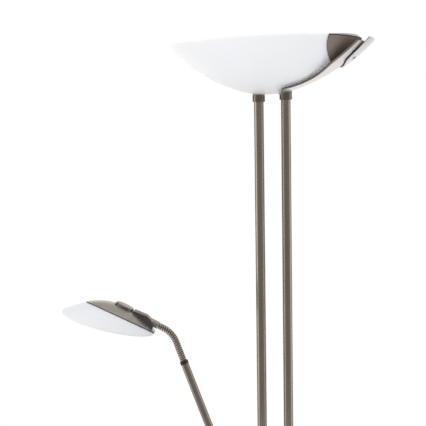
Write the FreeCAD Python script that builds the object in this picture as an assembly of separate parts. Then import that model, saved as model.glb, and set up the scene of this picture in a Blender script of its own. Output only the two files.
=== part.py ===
"""Twin-pole torchiere floor lamp with a reading light on a gooseneck arm.

Millimetres, +Z up. The origin is on the floor, midway between the two poles, under the base.
-Y is the front, +X is the side of the metal leaves, -X is the side of the reading arm.
"""

import FreeCAD, Part
import math
import os

from FreeCAD import Placement, Rotation, Vector

# ---------------------------------------------------------------- driving dimensions

# running and assembly gaps
run_gap = 0.06          # radial gap of anything that turns on a shaft or tube
fit_gap = 0.02          # radial gap of pieces that are screwed or pushed together
side_gap = 0.3          # gap between faces that slide past each other
beyond = 400.0          # cutting tools reach this far past what they cut

# base
base_d = 280.0          # spun steel cover
base_h = 28.0           # height of the cover's crown
cover_wall = 1.2
cover_edge_z = 2.5      # the skirt stops this far above the floor
cover_edge_r = 8.0      # rounded shoulder
cover_shoulder_h = 24.0
cover_flat_r = 46.0     # flat middle of the cover
pad_t = 2.0             # felt disc under the weight
pad_inset = 4.0         # the felt stops this far inside the weight's edge
weight_side_gap = 6.8   # between the cast iron weight and the cover's skirt
weight_t = 18.0
weight_edge = 1.5       # chamfer
weight_boss_r = 16.0    # raised pads that carry the cover and the poles
stud_under_nut = 0.5
pocket_r = 14.0         # room for washer and nut under each pole
pocket_h = 9.0
groove_w = 8.0          # channel for the wires under the weight
inlet_r = 5.0           # rubber inlet bush in the skirt
inlet_bore_r = 3.2
inlet_flange_r = 7.0
inlet_flange_t = 1.5
inlet_z = 9.0
inlet_depth = 8.0       # how far the bush reaches in from the skirt's face

# poles
pole_d = 16.0
pole_wall = 1.25
pole_spacing = 44.0
pole_foot_z = 30.0
pole_joint_low_z = 590.0
pole_joint_high_z = 1150.0
joiner_half = 22.0      # reach of a joiner into each tube
joiner_ring_t = 2.0     # its shoulder, seen as a thin ring
joiner_bore_r = 4.0
base_collar_r = 13.0
base_collar_h = 14.0
base_collar_edge = 1.2
plug_h = 24.0           # threaded plugs in the tube ends
stud_r = 5.0
stud_bore_r = 3.0
stud_clear = 0.6        # radial room around a stud in glass and sheet
nut_af = 17.0
nut_t = 6.0
washer_r = 12.0
washer_t = 1.5
top_collar_r = 10.25
left_collar_drop = 93.0     # from the rim's height down to each collar's lower edge
right_collar_drop = 90.0
tube_in_collar = 6.0        # how far each tube goes into its top collar
stud_above_nut = 1.5

# bowl, in its own frame: origin at the rim's centre, x towards the leaves, z up
rim_height = 1800.0
bowl_x = -11.2          # the rim's centre, off the middle of the poles
bowl_lean = 1.0         # degrees, leaf side up
bowl_r = 152.6
bowl_depth = 81.2
bowl_crown_r = 131.6    # radius of the bottom of the dish
bowl_crown_deg = 16.7   # where the crown meets the flank
bowl_wall = 4.0
gasket_t = 1.2
gasket_inset = 1.0      # the gasket stops this far inside the collar's edge
leaf_sheet = 1.2        # sheet thickness of the leaves
inner_leaf_gap = 0.6    # between glass and inner leaf
inner_leaf_cut_r = 37.7     # its left edge, an arc seen from the side
inner_leaf_cut = (126.5, -10.2)
hook_rise = 4.0         # the inner leaf goes on past the glass by this much
hook_lean = 45.0        # and folds in over the rim, degrees from upright
hook_fold = 8.0
hook_top = 3.0          # height of the fold's cut edge at hook_from
hook_from = 92.0
hook_top_slope = 4.1    # degrees, higher towards the right end
under_leaf_low = (26.7, -80.7)      # two (x, z) points of the under leaf's outside, over the right collar
under_leaf_high = (137.7, -28.7)    # and at the screws of the tip leaf
under_leaf_r = 300.5    # radius of its sphere
under_leaf_top = -8.2
under_leaf_outline = [(22.0, 54.0), (57.0, 51.0), (81.0, 66.0), (99.0, 91.0), (121.0, 99.0), (151.0, 84.0)]
tip_leaf_low = (124.4, -42.8)
tip_leaf_high = (180.2, 3.6)
tip_leaf_r = 280.0
tip_leaf_sheet = 1.6
tip_leaf_edge_low = (125.2, -35.5)
tip_leaf_edge_high = (165.1, 6.2)
tip_leaf_start_x = 118.4
tip_leaf_top = -0.5
leaf_screw_x = 136.4    # screws through tip leaf, spacer and under leaf
leaf_screw_y = 40.0
leaf_rivet_x = 119.4    # standoffs between under leaf and inner leaf
leaf_rivet_y = 30.0
screw_reach_in = 6.0    # room for the screws' inner ends, and their whole room
screw_reach = 30.0
leaf_screw_r = 1.5
leaf_head_r = 3.2
leaf_head_t = 1.6
leaf_spacer_r = 3.2
rivet_r = 2.5

# inside the bowl
plate_r = 40.0          # steel plate that clamps the glass
plate_z = -61.5
plate_t = 1.5
sleeve_r = 8.0
trough_floor = (140.0, 36.0)
trough_mouth = (152.0, 72.0)
trough_floor_z = -51.0
trough_mouth_z = -22.0
trough_sheet = 0.8
tab_w = 14.0            # tabs bent up from the plate, under the trough
tab_y = 16.0
tab_foot = 6.0
holder_size = (12.0, 16.0, 18.0)
lamp_len = 114.0
lamp_tube_r = 5.0
lamp_end_r = 3.6
lamp_end_len = 10.0
lamp_end_in = 2.0       # how far each lamp end goes into its holder
lamp_end_room = 1.0     # around and behind each end
lamp_z = -36.0
pane_t = 3.0
pane_edge = 2.0         # the pane stays this far inside the mouth's edge
clip_w = 16.0
clip_t = 0.8
clip_reach = 8.0
clip_drop = 9.0

# dimmer housing on both poles
housing_z = 943.0
housing_h = 50.0
housing_half_depth = 19.0
housing_wall = 2.5
housing_edge_r = 2.0
boss_r = 3.2
boss_dz = 18.5
housing_screw_r = 1.5
housing_screw_head_r = 2.8
housing_screw_head_t = 1.8
housing_screw_reach = 9.0   # past the housing's joint, into the front half
screw_head_gap = 0.2        # around and over each sunk head
board_size = (22.0, 1.6, 26.0)
board_y = 5.0
pot_r = 7.5
pot_t = 7.6
pot_floor = 1.5
shaft_r = 3.0
knob_pitch = 29.0
knob_r = 12.5
knob_t = 13.0
knob_flutes = 18
knob_flute_r = 1.1
knob_edge = 1.0         # chamfer round the face
knob_skirt = 2.5        # plain band behind the flutes
knob_mark = (1.2, 7.0, 0.6)
knob_mark_inset = 2.0

# arm collar on the left pole
swivel_z = 1001.0       # height of the arm's pivot
swivel_h = 26.0
swivel_r = 14.5
swivel_edge = 1.0       # chamfers
stop_ring_r = 12.5
stop_ring_h = 7.0
stop_ring_edge = 0.8
grub_r = 2.0
grub_inset = 1.0
pivot_x = -48.0
tongue_t = 7.0
tongue_r = 9.0
cheek_t = 4.0
cheek_r = 8.5
friction_t = 0.5
pivot_r = 3.0
pivot_head_r = 6.0
pivot_head_t = 3.0
pivot_head_edge = 0.8
clamp_r = 11.0
clamp_t = 12.0
clamp_waist_r = 8.5
clamp_edge = 0.8
clamp_wall = 2.5        # in front of the screw's end
clamp_end_gap = 0.8
clamp_lobes = 5
clamp_lobe_r = 5.0

# arm, gooseneck
arm_lean = 20.3         # degrees from upright, towards -X
arm_len = 297.0         # pivot to the arm's top end
arm_d = 13.0
arm_wall = 1.2
arm_socket_r = 8.2
arm_socket_from = 11.5
arm_socket_to = 34.0
arm_seat = 6.0          # floor of the socket under the tube's end
fork_overlap = 4.0      # the cheeks run this far up the socket
fork_room = 1.2         # around the collar's tongue
friction_inset = 0.5
ferrule_r = 7.0
ferrule_h = 5.0
ferrule_wall = 1.0      # its end wall, past the tube
neck_root_r = 4.7
neck_crest_r = 5.6
neck_bore_r = 2.6
neck_rib_count = 34
neck_rib_shape = (0.25, 0.6, 0.85)      # where a rib's crest starts, ends and meets the root, in pitches
neck_bore_steps = 16
neck_straight = 35.0
neck_bend_r = 44.0
neck_end_straight = 9.0
neck_end_deg = 28.0     # slope of the neck where it meets the head

# reading head, in its own frame: origin at the rim's centre, x towards the neck, z up the dome
head_tilt = 14.9        # degrees, neck end down
head_r = 78.0
head_depth = 29.0
head_crown_r = 100.0
head_crown_deg = 18.0
head_wall = 3.0
head_leaf_gap = 0.6
head_leaf_cut_x = -44.9
head_leaf_cut_z = 22.5
head_leaf_cut_slope = 11.0
head_leaf_cut_dip = 11.6
head_fix_x = 19.5       # the screw that holds leaf, glass and reflector
cap_r = 15.5
cap_t = 2.4
cap_edge = 0.8
cap_over_nipple = 1.0
tongue_w = 18.0
tongue_sheet = 1.5
tongue_lead = 16.0      # the tongue runs this far before the fixing screw
tongue_len = 48.0
bracket_w = 22.0
bracket_foot = 4.0      # its last edge slopes back by this much
bracket_top = [(37.0, 27.6), (60.0, 24.2), (67.0, 19.5), (73.5, 7.5)]
connector_r = 6.1
connector_len = 17.0
connector_edge = 0.7
connector_end_wall = 3.0
connector_end = (82.0, 12.0)
nipple_r = 5.0
nipple_bore_r = 3.5
head_washer_r = 9.0
head_washer_t = 1.0
reflector_r = 50.0
reflector_sheet = 0.8
holder_size_head = (18.0, 16.0)
holder_x = -27.0
holder_under = 8.0      # the holder reaches this far below the lamp's axis
head_lamp_z = 11.0
capsule_r = 6.5
capsule_len = 30.0
head_nut_t = 3.0
head_nut_wall = 3.5

# ---------------------------------------------------------------- sizes that follow

pole_r = pole_d / 2
pole_bore_r = pole_r - pole_wall
plug_r = pole_bore_r - fit_gap
left_x = -pole_spacing / 2
right_x = pole_spacing / 2
pole_xs = (left_x, right_x)
knob_xs = (-knob_pitch / 2, knob_pitch / 2)
base_r = base_d / 2
arm_r = arm_d / 2
arm_bore_r = arm_r - arm_wall
pot_back = -housing_half_depth + housing_wall + pot_t
stud_hole_r = stud_r + stud_clear
weight_r = base_r - cover_wall - weight_side_gap
plate_x = -bowl_x       # midway between the poles
inner_leaf_out = inner_leaf_gap + leaf_sheet
head_leaf_out = head_leaf_gap + leaf_sheet

UP = Vector(0, 0, 1)
FRONT = Vector(0, -1, 0)
BACK = Vector(0, 1, 0)


# ---------------------------------------------------------------- helpers


def save(name, shape):
    """Writes one piece, or one group of like pieces, as a STEP file."""
    shape.exportStep("parts/" + name + ".step")
    print(f"{name:24s} solids {len(shape.Solids):2d}  volume {shape.Volume:12.1f}  valid {shape.isValid()}")


def rod(r, z0, z1, x=0.0, y=0.0):
    return Part.makeCylinder(r, z1 - z0, Vector(x, y, z0))


def pipe(r_out, r_in, z0, z1, x=0.0, y=0.0):
    return rod(r_out, z0, z1, x, y).cut(rod(r_in, z0 - 1, z1 + 1, x, y))


def rod_along(r, start, direction, length):
    return Part.makeCylinder(r, length, start, direction)


def block(sx, sy, sz, cx, cy, z0):
    """Box centred on cx, cy, standing on z0."""
    return Part.makeBox(sx, sy, sz, Vector(cx - sx / 2, cy - sy / 2, z0))


def turned(points):
    """Solid of revolution about Z from (radius, z) points joined by straight lines."""
    corners = [Vector(-r, 0, z) for r, z in points]
    return Part.Face(Part.makePolygon(corners + corners[:1])).revolve(Vector(0, 0, 0), UP, 360)


def ball(r, centre):
    """Full sphere with its seam turned away from +X."""
    shape = Part.makeSphere(r)
    shape.Placement = Placement(centre, Rotation(UP, 180))
    return shape


def hexagon(across_flats, z0, height, x, y):
    r = across_flats / math.sqrt(3)
    corners = [
        Vector(x + r * math.cos(math.radians(60 * k)), y + r * math.sin(math.radians(60 * k)), z0)
        for k in range(7)
    ]
    return Part.Face(Part.makePolygon(corners)).extrude(Vector(0, 0, height))


def side_plate(points, y0, y1):
    """Flat piece cut to (x, z) points and extruded from y0 to y1."""
    corners = [Vector(x, y0, z) for x, z in points]
    return Part.Face(Part.makePolygon(corners + corners[:1])).extrude(Vector(0, y1 - y0, 0))


def level_edges(shape):
    return [e for e in shape.Edges if e.BoundBox.ZMax - e.BoundBox.ZMin < 0.01]


def group(shapes):
    return Part.makeCompound(shapes)


class Dish:
    """Round dish whose outside is a crown arc and a flank arc that meet at one tangent.

    The rim's centre is the origin and the dish hangs below it. Offsets are outwards.
    """

    def __init__(self, rim_r, depth, crown_r, crown_deg):
        self.depth = depth
        self.crown_r = crown_r
        self.a = math.radians(crown_deg)
        x1 = crown_r * math.sin(self.a)
        z1 = -depth + crown_r * (1 - math.cos(self.a))
        dx = rim_r - x1
        dz = -z1
        self.flank_r = (dx * dx + dz * dz) / (2 * (dz * math.cos(self.a) - dx * math.sin(self.a)))
        self.cx = x1 - self.flank_r * math.sin(self.a)
        self.cz = z1 + self.flank_r * math.cos(self.a)
        self.b = math.atan2(rim_r - self.cx, self.cz)

    def crown_point(self, angle, off):
        r = self.crown_r + off
        return Vector(-r * math.sin(angle), 0, self.crown_r - self.depth - r * math.cos(angle))

    def flank_point(self, angle, off):
        r = self.flank_r + off
        return Vector(-(self.cx + r * math.sin(angle)), 0, self.cz - r * math.cos(angle))

    def curve(self, off, end):
        """The two arcs from the axis to the angle end."""
        middle = (self.a + end) / 2
        crown = [self.crown_point(angle, off) for angle in (0, self.a / 2, self.a)]
        flank = [self.flank_point(angle, off) for angle in (self.a, middle, end)]
        return [Part.Arc(*crown).toShape(), Part.Arc(*flank).toShape()]

    def shell(self, inside, outside, end=None, round_lip=True):
        """Turned shell between two offsets, with a round or square lip."""
        end = self.b if end is None else end
        out_end = self.flank_point(end, outside)
        in_end = self.flank_point(end, inside)
        if round_lip:
            bulge = (outside - inside) / 2
            tip = (out_end + in_end) * 0.5 + Vector(-math.cos(end), 0, math.sin(end)) * bulge
            lip = Part.Arc(out_end, tip, in_end).toShape()
        else:
            lip = Part.makeLine(out_end, in_end)
        axis = Part.makeLine(self.crown_point(0, inside), self.crown_point(0, outside))
        edges = self.curve(outside, end) + [lip] + self.curve(inside, end) + [axis]
        wire = Part.Wire(Part.__sortEdges__(edges))
        return Part.Face(wire).revolve(Vector(0, 0, 0), UP, 360)

    def solid(self, off, height):
        """The dish filled up and carried on upwards, for cutting."""
        out_end = self.flank_point(self.b, off)
        top = Vector(out_end.x, 0, height)
        lines = [
            Part.makeLine(out_end, top),
            Part.makeLine(top, Vector(0, 0, height)),
            Part.makeLine(Vector(0, 0, height), self.crown_point(0, off)),
        ]
        wire = Part.Wire(Part.__sortEdges__(self.curve(off, self.b) + lines))
        return Part.Face(wire).revolve(Vector(0, 0, 0), UP, 360)


# ---------------------------------------------------------------- base


def cover_profile(off):
    """Outline of the spun cover, off inside its outer face, filled down to its edge."""
    r = base_r - off
    crown_z = base_h - off
    shoulder_z = cover_shoulder_h - off
    shoulder_r = cover_edge_r - off
    bend = 1 - math.sqrt(0.5)
    low = Vector(-r, 0, cover_edge_z)
    bend_start = Vector(-r, 0, shoulder_z - shoulder_r)
    bend_middle = Vector(-(r - shoulder_r * bend), 0, shoulder_z - shoulder_r * bend)
    bend_end = Vector(-(r - shoulder_r), 0, shoulder_z)
    flat_start = Vector(-cover_flat_r, 0, crown_z)
    run = r - shoulder_r - cover_flat_r
    rise = crown_z - shoulder_z
    big_r = (run * run + rise * rise) / (2 * rise)
    half = math.asin(run / big_r) / 2
    crown_middle = Vector(-cover_flat_r - big_r * math.sin(half), 0, crown_z - big_r * (1 - math.cos(half)))
    edges = [
        Part.makeLine(low, bend_start),
        Part.Arc(bend_start, bend_middle, bend_end).toShape(),
        Part.Arc(bend_end, crown_middle, flat_start).toShape(),
        Part.makeLine(flat_start, Vector(0, 0, crown_z)),
        Part.makeLine(Vector(0, 0, crown_z), Vector(0, 0, cover_edge_z)),
        Part.makeLine(Vector(0, 0, cover_edge_z), low),
    ]
    return Part.Face(Part.Wire(Part.__sortEdges__(edges))).revolve(Vector(0, 0, 0), UP, 360)


def base_parts():
    weight_top = pad_t + weight_t
    pad = rod(weight_r - pad_inset, 0, pad_t)
    for x in pole_xs:
        pad = pad.cut(rod(pocket_r, -1, pad_t + 1, x))
    save("base_pad", pad)

    outer = cover_profile(0)
    inner = cover_profile(cover_wall)
    inlet_from = Vector(0, base_r - inlet_depth, inlet_z)
    cover = outer.cut(inner).cut(rod_along(inlet_r + fit_gap, inlet_from, BACK, beyond))
    for x in pole_xs:
        cover = cover.cut(rod(stud_hole_r, 0, beyond, x))
    save("base_cover", cover)

    weight = rod(weight_r, pad_t, weight_top)
    weight = weight.makeChamfer(weight_edge, weight.Edges)
    for x in pole_xs:
        weight = weight.fuse(rod(weight_boss_r, weight_top - 1, base_h, x).common(inner))
    for x in pole_xs:
        weight = weight.cut(rod(pocket_r, 0, pad_t + pocket_h, x))
        weight = weight.cut(rod(stud_hole_r, 0, base_h, x))
    groove_h = inlet_z + inlet_bore_r - pad_t
    weight = weight.cut(Part.makeBox(groove_w, beyond, groove_h, Vector(-groove_w / 2, 0, pad_t)))
    weight = weight.cut(block(pole_spacing, groove_w, groove_h / 2, 0, 0, pad_t))
    save("base_weight", weight.removeSplitter())

    washer_z = pad_t + pocket_h - washer_t
    nut_z = washer_z - nut_t
    washers = [pipe(washer_r, stud_r + fit_gap, washer_z, washer_z + washer_t, x) for x in pole_xs]
    save("base_washers", group(washers))
    nuts = [hexagon(nut_af, nut_z, nut_t, x, 0).cut(rod(stud_r + fit_gap, 0, beyond, x)) for x in pole_xs]
    save("base_nuts", group(nuts))
    studs = [pipe(stud_r, stud_bore_r, nut_z - stud_under_nut, pole_foot_z + plug_h, x) for x in pole_xs]
    save("base_studs", group(studs))
    plugs = [pipe(plug_r, stud_r + fit_gap, pole_foot_z, pole_foot_z + plug_h, x) for x in pole_xs]

    collars = []
    for x in pole_xs:
        top = base_h + base_collar_h
        collar = rod(base_collar_r, base_h, top, x)
        rim = [e for e in collar.Edges if abs(e.BoundBox.ZMin - top) < 0.01]
        collar = collar.makeChamfer(base_collar_edge, rim)
        collar = collar.cut(rod(pole_r + fit_gap, pole_foot_z, top + 1, x))
        collars.append(collar.cut(rod(stud_hole_r, 0, top, x)))
    save("base_collars", group(collars))

    bush = rod_along(inlet_r, inlet_from, BACK, inlet_depth)
    flange = rod_along(inlet_flange_r, inlet_from, BACK, inlet_depth + inlet_flange_t)
    bush = bush.fuse(flange.cut(rod(base_r, 0, base_h)))
    bush = bush.cut(rod_along(inlet_bore_r, inlet_from - BACK, BACK, beyond))
    save("cord_inlet", bush.removeSplitter())
    return plugs


# ---------------------------------------------------------------- poles


def pole_parts(tube_ends):
    """Three sections to each pole; tube_ends gives the top end of the left and the right one."""
    joints = (pole_joint_low_z, pole_joint_high_z)
    half_ring = joiner_ring_t / 2
    sections = {"lower": [], "middle": [], "upper": []}
    for x, tube_end in zip(pole_xs, tube_ends):
        ends = [pole_foot_z, joints[0], joints[1], tube_end]
        for k, section in enumerate(sections):
            low = ends[k] + (half_ring if k else 0)
            high = ends[k + 1] - (half_ring if k < 2 else 0)
            sections[section].append(pipe(pole_r, pole_bore_r, low, high, x))
    for section, tubes in sections.items():
        save("poles_" + section, group(tubes))

    joiners = []
    for x in pole_xs:
        for z in joints:
            joiner = rod(plug_r, z - joiner_half, z + joiner_half, x)
            joiner = joiner.fuse(rod(pole_r, z - half_ring, z + half_ring, x))
            joiners.append(joiner.cut(rod(joiner_bore_r, 0, z + beyond, x)))
    save("pole_joiners", group(joiners))


# ---------------------------------------------------------------- bowl


bowl = Dish(bowl_r, bowl_depth, bowl_crown_r, bowl_crown_deg)
bowl_place = Placement(Vector(bowl_x, 0, rim_height), Rotation(BACK, -bowl_lean))


def in_bowl(shape):
    """Moves a piece from the bowl's own frame to the lamp's."""
    placed = shape.copy()
    placed.Placement = bowl_place.multiply(placed.Placement)
    return placed


def arc_centre(low, high, r):
    """Centre, on the inner side, of a circle of radius r through two (x, z) points."""
    dx = high[0] - low[0]
    dz = high[1] - low[1]
    chord = math.hypot(dx, dz)
    rise = math.sqrt(r * r - chord * chord / 4)
    x = (low[0] + high[0]) / 2 - dz / chord * rise
    z = (low[1] + high[1]) / 2 + dx / chord * rise
    return Vector(round(x, 13), 0, round(z, 13))


under_centre = arc_centre(under_leaf_low, under_leaf_high, under_leaf_r)
tip_centre = arc_centre(tip_leaf_low, tip_leaf_high, tip_leaf_r)


def half_space_below(low, high):
    """Big block on the lower right of the line through two (x, z) points."""
    along = Vector(high[0] - low[0], 0, high[1] - low[1]).normalize() * beyond
    down = Vector(along.z, 0, -along.x)
    a = Vector(low[0], -beyond, low[1]) - along
    corners = [a, a + along * 2, a + along * 2 + down, a + down]
    return Part.Face(Part.makePolygon(corners + corners[:1])).extrude(BACK * beyond * 2)


def rim_hook():
    """Band turned about the bowl's axis: the leaf's sheet goes on past the glass and folds in over the rim."""
    fold = math.radians(hook_lean)
    face = Vector(-math.sin(bowl.b), 0, -math.cos(bowl.b))
    fold_face = Vector(-math.cos(fold), 0, math.sin(fold))
    out_low = bowl.flank_point(bowl.b, inner_leaf_out)
    out_bend = out_low + Vector(-math.cos(bowl.b), 0, math.sin(bowl.b)) * hook_rise
    out_top = out_bend + Vector(math.sin(fold), 0, math.cos(fold)) * hook_fold
    in_low = bowl.flank_point(bowl.b, inner_leaf_gap)
    in_bend = out_bend - (face + fold_face) * (leaf_sheet / (1 + face.dot(fold_face)))
    in_top = out_top - fold_face * leaf_sheet
    outline = [out_low, out_bend, out_top, in_top, in_bend, in_low]
    return turned([(-p.x, p.z) for p in outline])


def inner_leaf():
    """Short leaf that hugs the glass and hooks over its rim, with a round left edge and a slanting top."""
    leaf = bowl.shell(inner_leaf_gap, inner_leaf_out, round_lip=False).fuse(rim_hook())
    cut_x, cut_z = inner_leaf_cut
    kept = rod_along(inner_leaf_cut_r, Vector(cut_x, -beyond, cut_z), BACK, 2 * beyond)
    kept = kept.fuse(Part.makeBox(beyond, 2 * beyond, 2 * beyond, Vector(cut_x, -beyond, -beyond)))
    leaf = leaf.common(kept)
    rise = math.tan(math.radians(hook_top_slope))
    high_x = hook_from + beyond
    high_z = hook_top + beyond * rise
    above = [(0.0, hook_top - hook_from * rise), (high_x, high_z), (high_x, beyond), (0.0, beyond)]
    return leaf.cut(side_plate(above, -beyond, beyond)).removeSplitter()


def under_leaf():
    """Long leaf from the right pole to the right end: a petal of a sphere."""
    shell = ball(under_leaf_r, under_centre).cut(ball(under_leaf_r - leaf_sheet, under_centre))
    low = -bowl_depth - under_leaf_r
    near = [Vector(x, -w, low) for x, w in under_leaf_outline]
    far = [Vector(x, w, low) for x, w in reversed(under_leaf_outline)]
    near_side = Part.BSplineCurve()
    near_side.interpolate(near)
    far_side = Part.BSplineCurve()
    far_side.interpolate(far)
    corner_near = Vector(beyond, near[-1].y, low)
    corner_far = Vector(beyond, far[0].y, low)
    edges = [
        near_side.toShape(),
        Part.makeLine(near[-1], corner_near),
        Part.makeLine(corner_near, corner_far),
        Part.makeLine(corner_far, far[0]),
        far_side.toShape(),
        Part.makeLine(far[-1], near[0]),
    ]
    prism = Part.Face(Part.Wire(Part.__sortEdges__(edges))).extrude(Vector(0, 0, under_leaf_top - low))
    return shell.common(prism)


def tip_leaf():
    """Small outer leaf: a shallow sphere cap cut by a steep plane and by the rim's height."""
    shell = ball(tip_leaf_r, tip_centre).cut(ball(tip_leaf_r - tip_leaf_sheet, tip_centre))
    shell = shell.common(half_space_below(tip_leaf_edge_low, tip_leaf_edge_high))
    room = Part.makeBox(beyond, 2 * beyond, beyond, Vector(tip_leaf_start_x, -beyond, tip_leaf_top - beyond))
    return shell.common(room)


def leaf_axis(x, y):
    """Direction away from the bowl, square to the under leaf, at a point of its plan."""
    dx = x - under_centre.x
    down = math.sqrt(under_leaf_r ** 2 - dx * dx - y * y)
    return Vector(dx, y, -down).normalize()


def on_under_leaf(x, y):
    return under_centre + leaf_axis(x, y) * under_leaf_r


def bowl_parts():
    glass = bowl.shell(-bowl_wall, 0)
    inner = inner_leaf()
    under = under_leaf()
    tip = tip_leaf()

    spacers, screws, rivets = [], [], []
    under_ball = ball(under_leaf_r, under_centre)
    under_hollow = ball(under_leaf_r - leaf_sheet, under_centre)
    tip_hollow = ball(tip_leaf_r - tip_leaf_sheet, tip_centre)
    tip_ball = ball(tip_leaf_r, tip_centre)
    nut_low = ball(under_leaf_r - leaf_sheet - 2 * leaf_head_t, under_centre)
    for y in (-leaf_screw_y, leaf_screw_y):
        axis = leaf_axis(leaf_screw_x, y)
        start = on_under_leaf(leaf_screw_x, y) - axis * screw_reach_in
        thick = rod_along(leaf_spacer_r, start, axis, screw_reach)
        thin = rod_along(leaf_screw_r, start, axis, screw_reach)
        hole = rod_along(leaf_screw_r + fit_gap, start, axis, screw_reach)
        spacers.append(thick.common(tip_hollow).cut(under_ball).cut(hole))
        head = rod_along(leaf_head_r, start, axis, screw_reach)
        lifted = ball(tip_leaf_r + leaf_head_t, tip_centre)
        nut = head.common(under_hollow).cut(nut_low)
        shank = thin.common(tip_ball).cut(nut_low)
        screws.append(head.common(lifted).cut(tip_ball).fuse(shank).fuse(nut).removeSplitter())
        tip = tip.cut(hole)
        under = under.cut(hole)
    inner_solid = bowl.solid(inner_leaf_out, bowl_depth)
    inner_hollow = bowl.solid(inner_leaf_gap, bowl_depth)
    for y in (-leaf_rivet_y, leaf_rivet_y):
        axis = leaf_axis(leaf_rivet_x, y)
        start = on_under_leaf(leaf_rivet_x, y) - axis * screw_reach
        post = rod_along(rivet_r, start, axis, 2 * screw_reach)
        shank = rod_along(leaf_screw_r, start, axis, 2 * screw_reach)
        hole = rod_along(leaf_screw_r + fit_gap, start, axis, 2 * screw_reach)
        body = post.common(under_hollow).cut(inner_solid)
        body = body.fuse(shank.common(under_ball).cut(inner_hollow))
        rivets.append(body.removeSplitter())
        under = under.cut(hole)
        inner = inner.cut(hole)

    under_world = in_bowl(under)
    glass_world = in_bowl(glass)
    for x in pole_xs:
        bore = rod(stud_hole_r, 0, rim_height, x)
        under_world = under_world.cut(bore)
        glass_world = glass_world.cut(bore)
    save("bowl_glass", glass_world)
    save("bowl_inner_leaf", in_bowl(inner))
    save("bowl_under_leaf", under_world)
    save("bowl_tip_leaf", in_bowl(tip))
    save("tip_leaf_spacers", in_bowl(group(spacers)))
    save("tip_leaf_screws", in_bowl(group(screws)))
    save("leaf_rivets", in_bowl(group(rivets)))

    # what each pole ends in: plug, collar, gasket, stud, sleeve and nut
    outside = in_bowl(bowl.solid(0, bowl_depth))
    pressed = in_bowl(bowl.solid(gasket_t, bowl_depth))
    hollow = in_bowl(bowl.solid(-bowl_wall, bowl_depth))
    plate_low = in_bowl(block(beyond, beyond, beyond, plate_x, 0, plate_z))
    plate_high = in_bowl(block(beyond, beyond, beyond, plate_x, 0, plate_z + plate_t))
    leaf_ball = in_bowl(under_ball)
    leaf_hollow = in_bowl(under_hollow)
    plugs, gaskets, studs, sleeves, nuts, tube_ends = [], [], [], [], [], []
    for side, x, drop in (("left", left_x, left_collar_drop), ("right", right_x, right_collar_drop)):
        seat = pressed if side == "left" else leaf_ball
        collar_z = rim_height - drop
        tube_end = collar_z + tube_in_collar
        tube_ends.append(tube_end)
        collar = rod(top_collar_r, collar_z, rim_height, x).cut(seat)
        collar = sorted(collar.Solids, key=lambda s: s.BoundBox.ZMin)[0]
        collar = collar.cut(rod(pole_r + fit_gap, collar_z - 1, tube_end, x))
        collar = collar.cut(rod(stud_hole_r, 0, rim_height, x))
        save(side + "_top_collar", collar)
        plugs.append(pipe(plug_r, stud_r + fit_gap, tube_end - plug_h, tube_end, x))
        ring = pipe(top_collar_r - gasket_inset, stud_hole_r, collar_z, rim_height, x)
        ring = ring.common(seat if side == "left" else leaf_hollow).cut(outside)
        gaskets.append(sorted(ring.Solids, key=lambda s: s.BoundBox.ZMin)[0])
        plate_top = bowl_place.multVec(Vector(x - bowl_x, 0, plate_z + plate_t)).z
        stud_top = plate_top + nut_t + stud_above_nut
        studs.append(pipe(stud_r, stud_bore_r, tube_end - plug_h, stud_top, x))
        sleeve = pipe(sleeve_r, stud_hole_r, collar_z, stud_top + 2, x).common(hollow).cut(plate_low)
        sleeves.append(sorted(sleeve.Solids, key=lambda s: s.BoundBox.ZMin)[0])
        nut = hexagon(nut_af, plate_top - 3, nut_t + 3, x, 0).common(plate_high)
        nuts.append(nut.cut(rod(stud_r + fit_gap, 0, rim_height, x)))
    save("bowl_gaskets", group(gaskets))
    save("bowl_studs", group(studs))
    save("bowl_sleeves", group(sleeves))
    save("bowl_nuts", group(nuts))
    return tube_ends, plugs


def frustum(low, high, z0, z1, grow=0.0):
    """Four-sided tray shape between two centred rectangles."""
    wires = []
    for (sx, sy), z in ((low, z0), (high, z1)):
        hx = sx / 2 + grow
        hy = sy / 2 + grow
        corners = [Vector(-hx, -hy, z), Vector(hx, -hy, z), Vector(hx, hy, z), Vector(-hx, hy, z)]
        wires.append(Part.makePolygon(corners + corners[:1]))
    return Part.makeLoft(wires, True, True)


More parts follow.
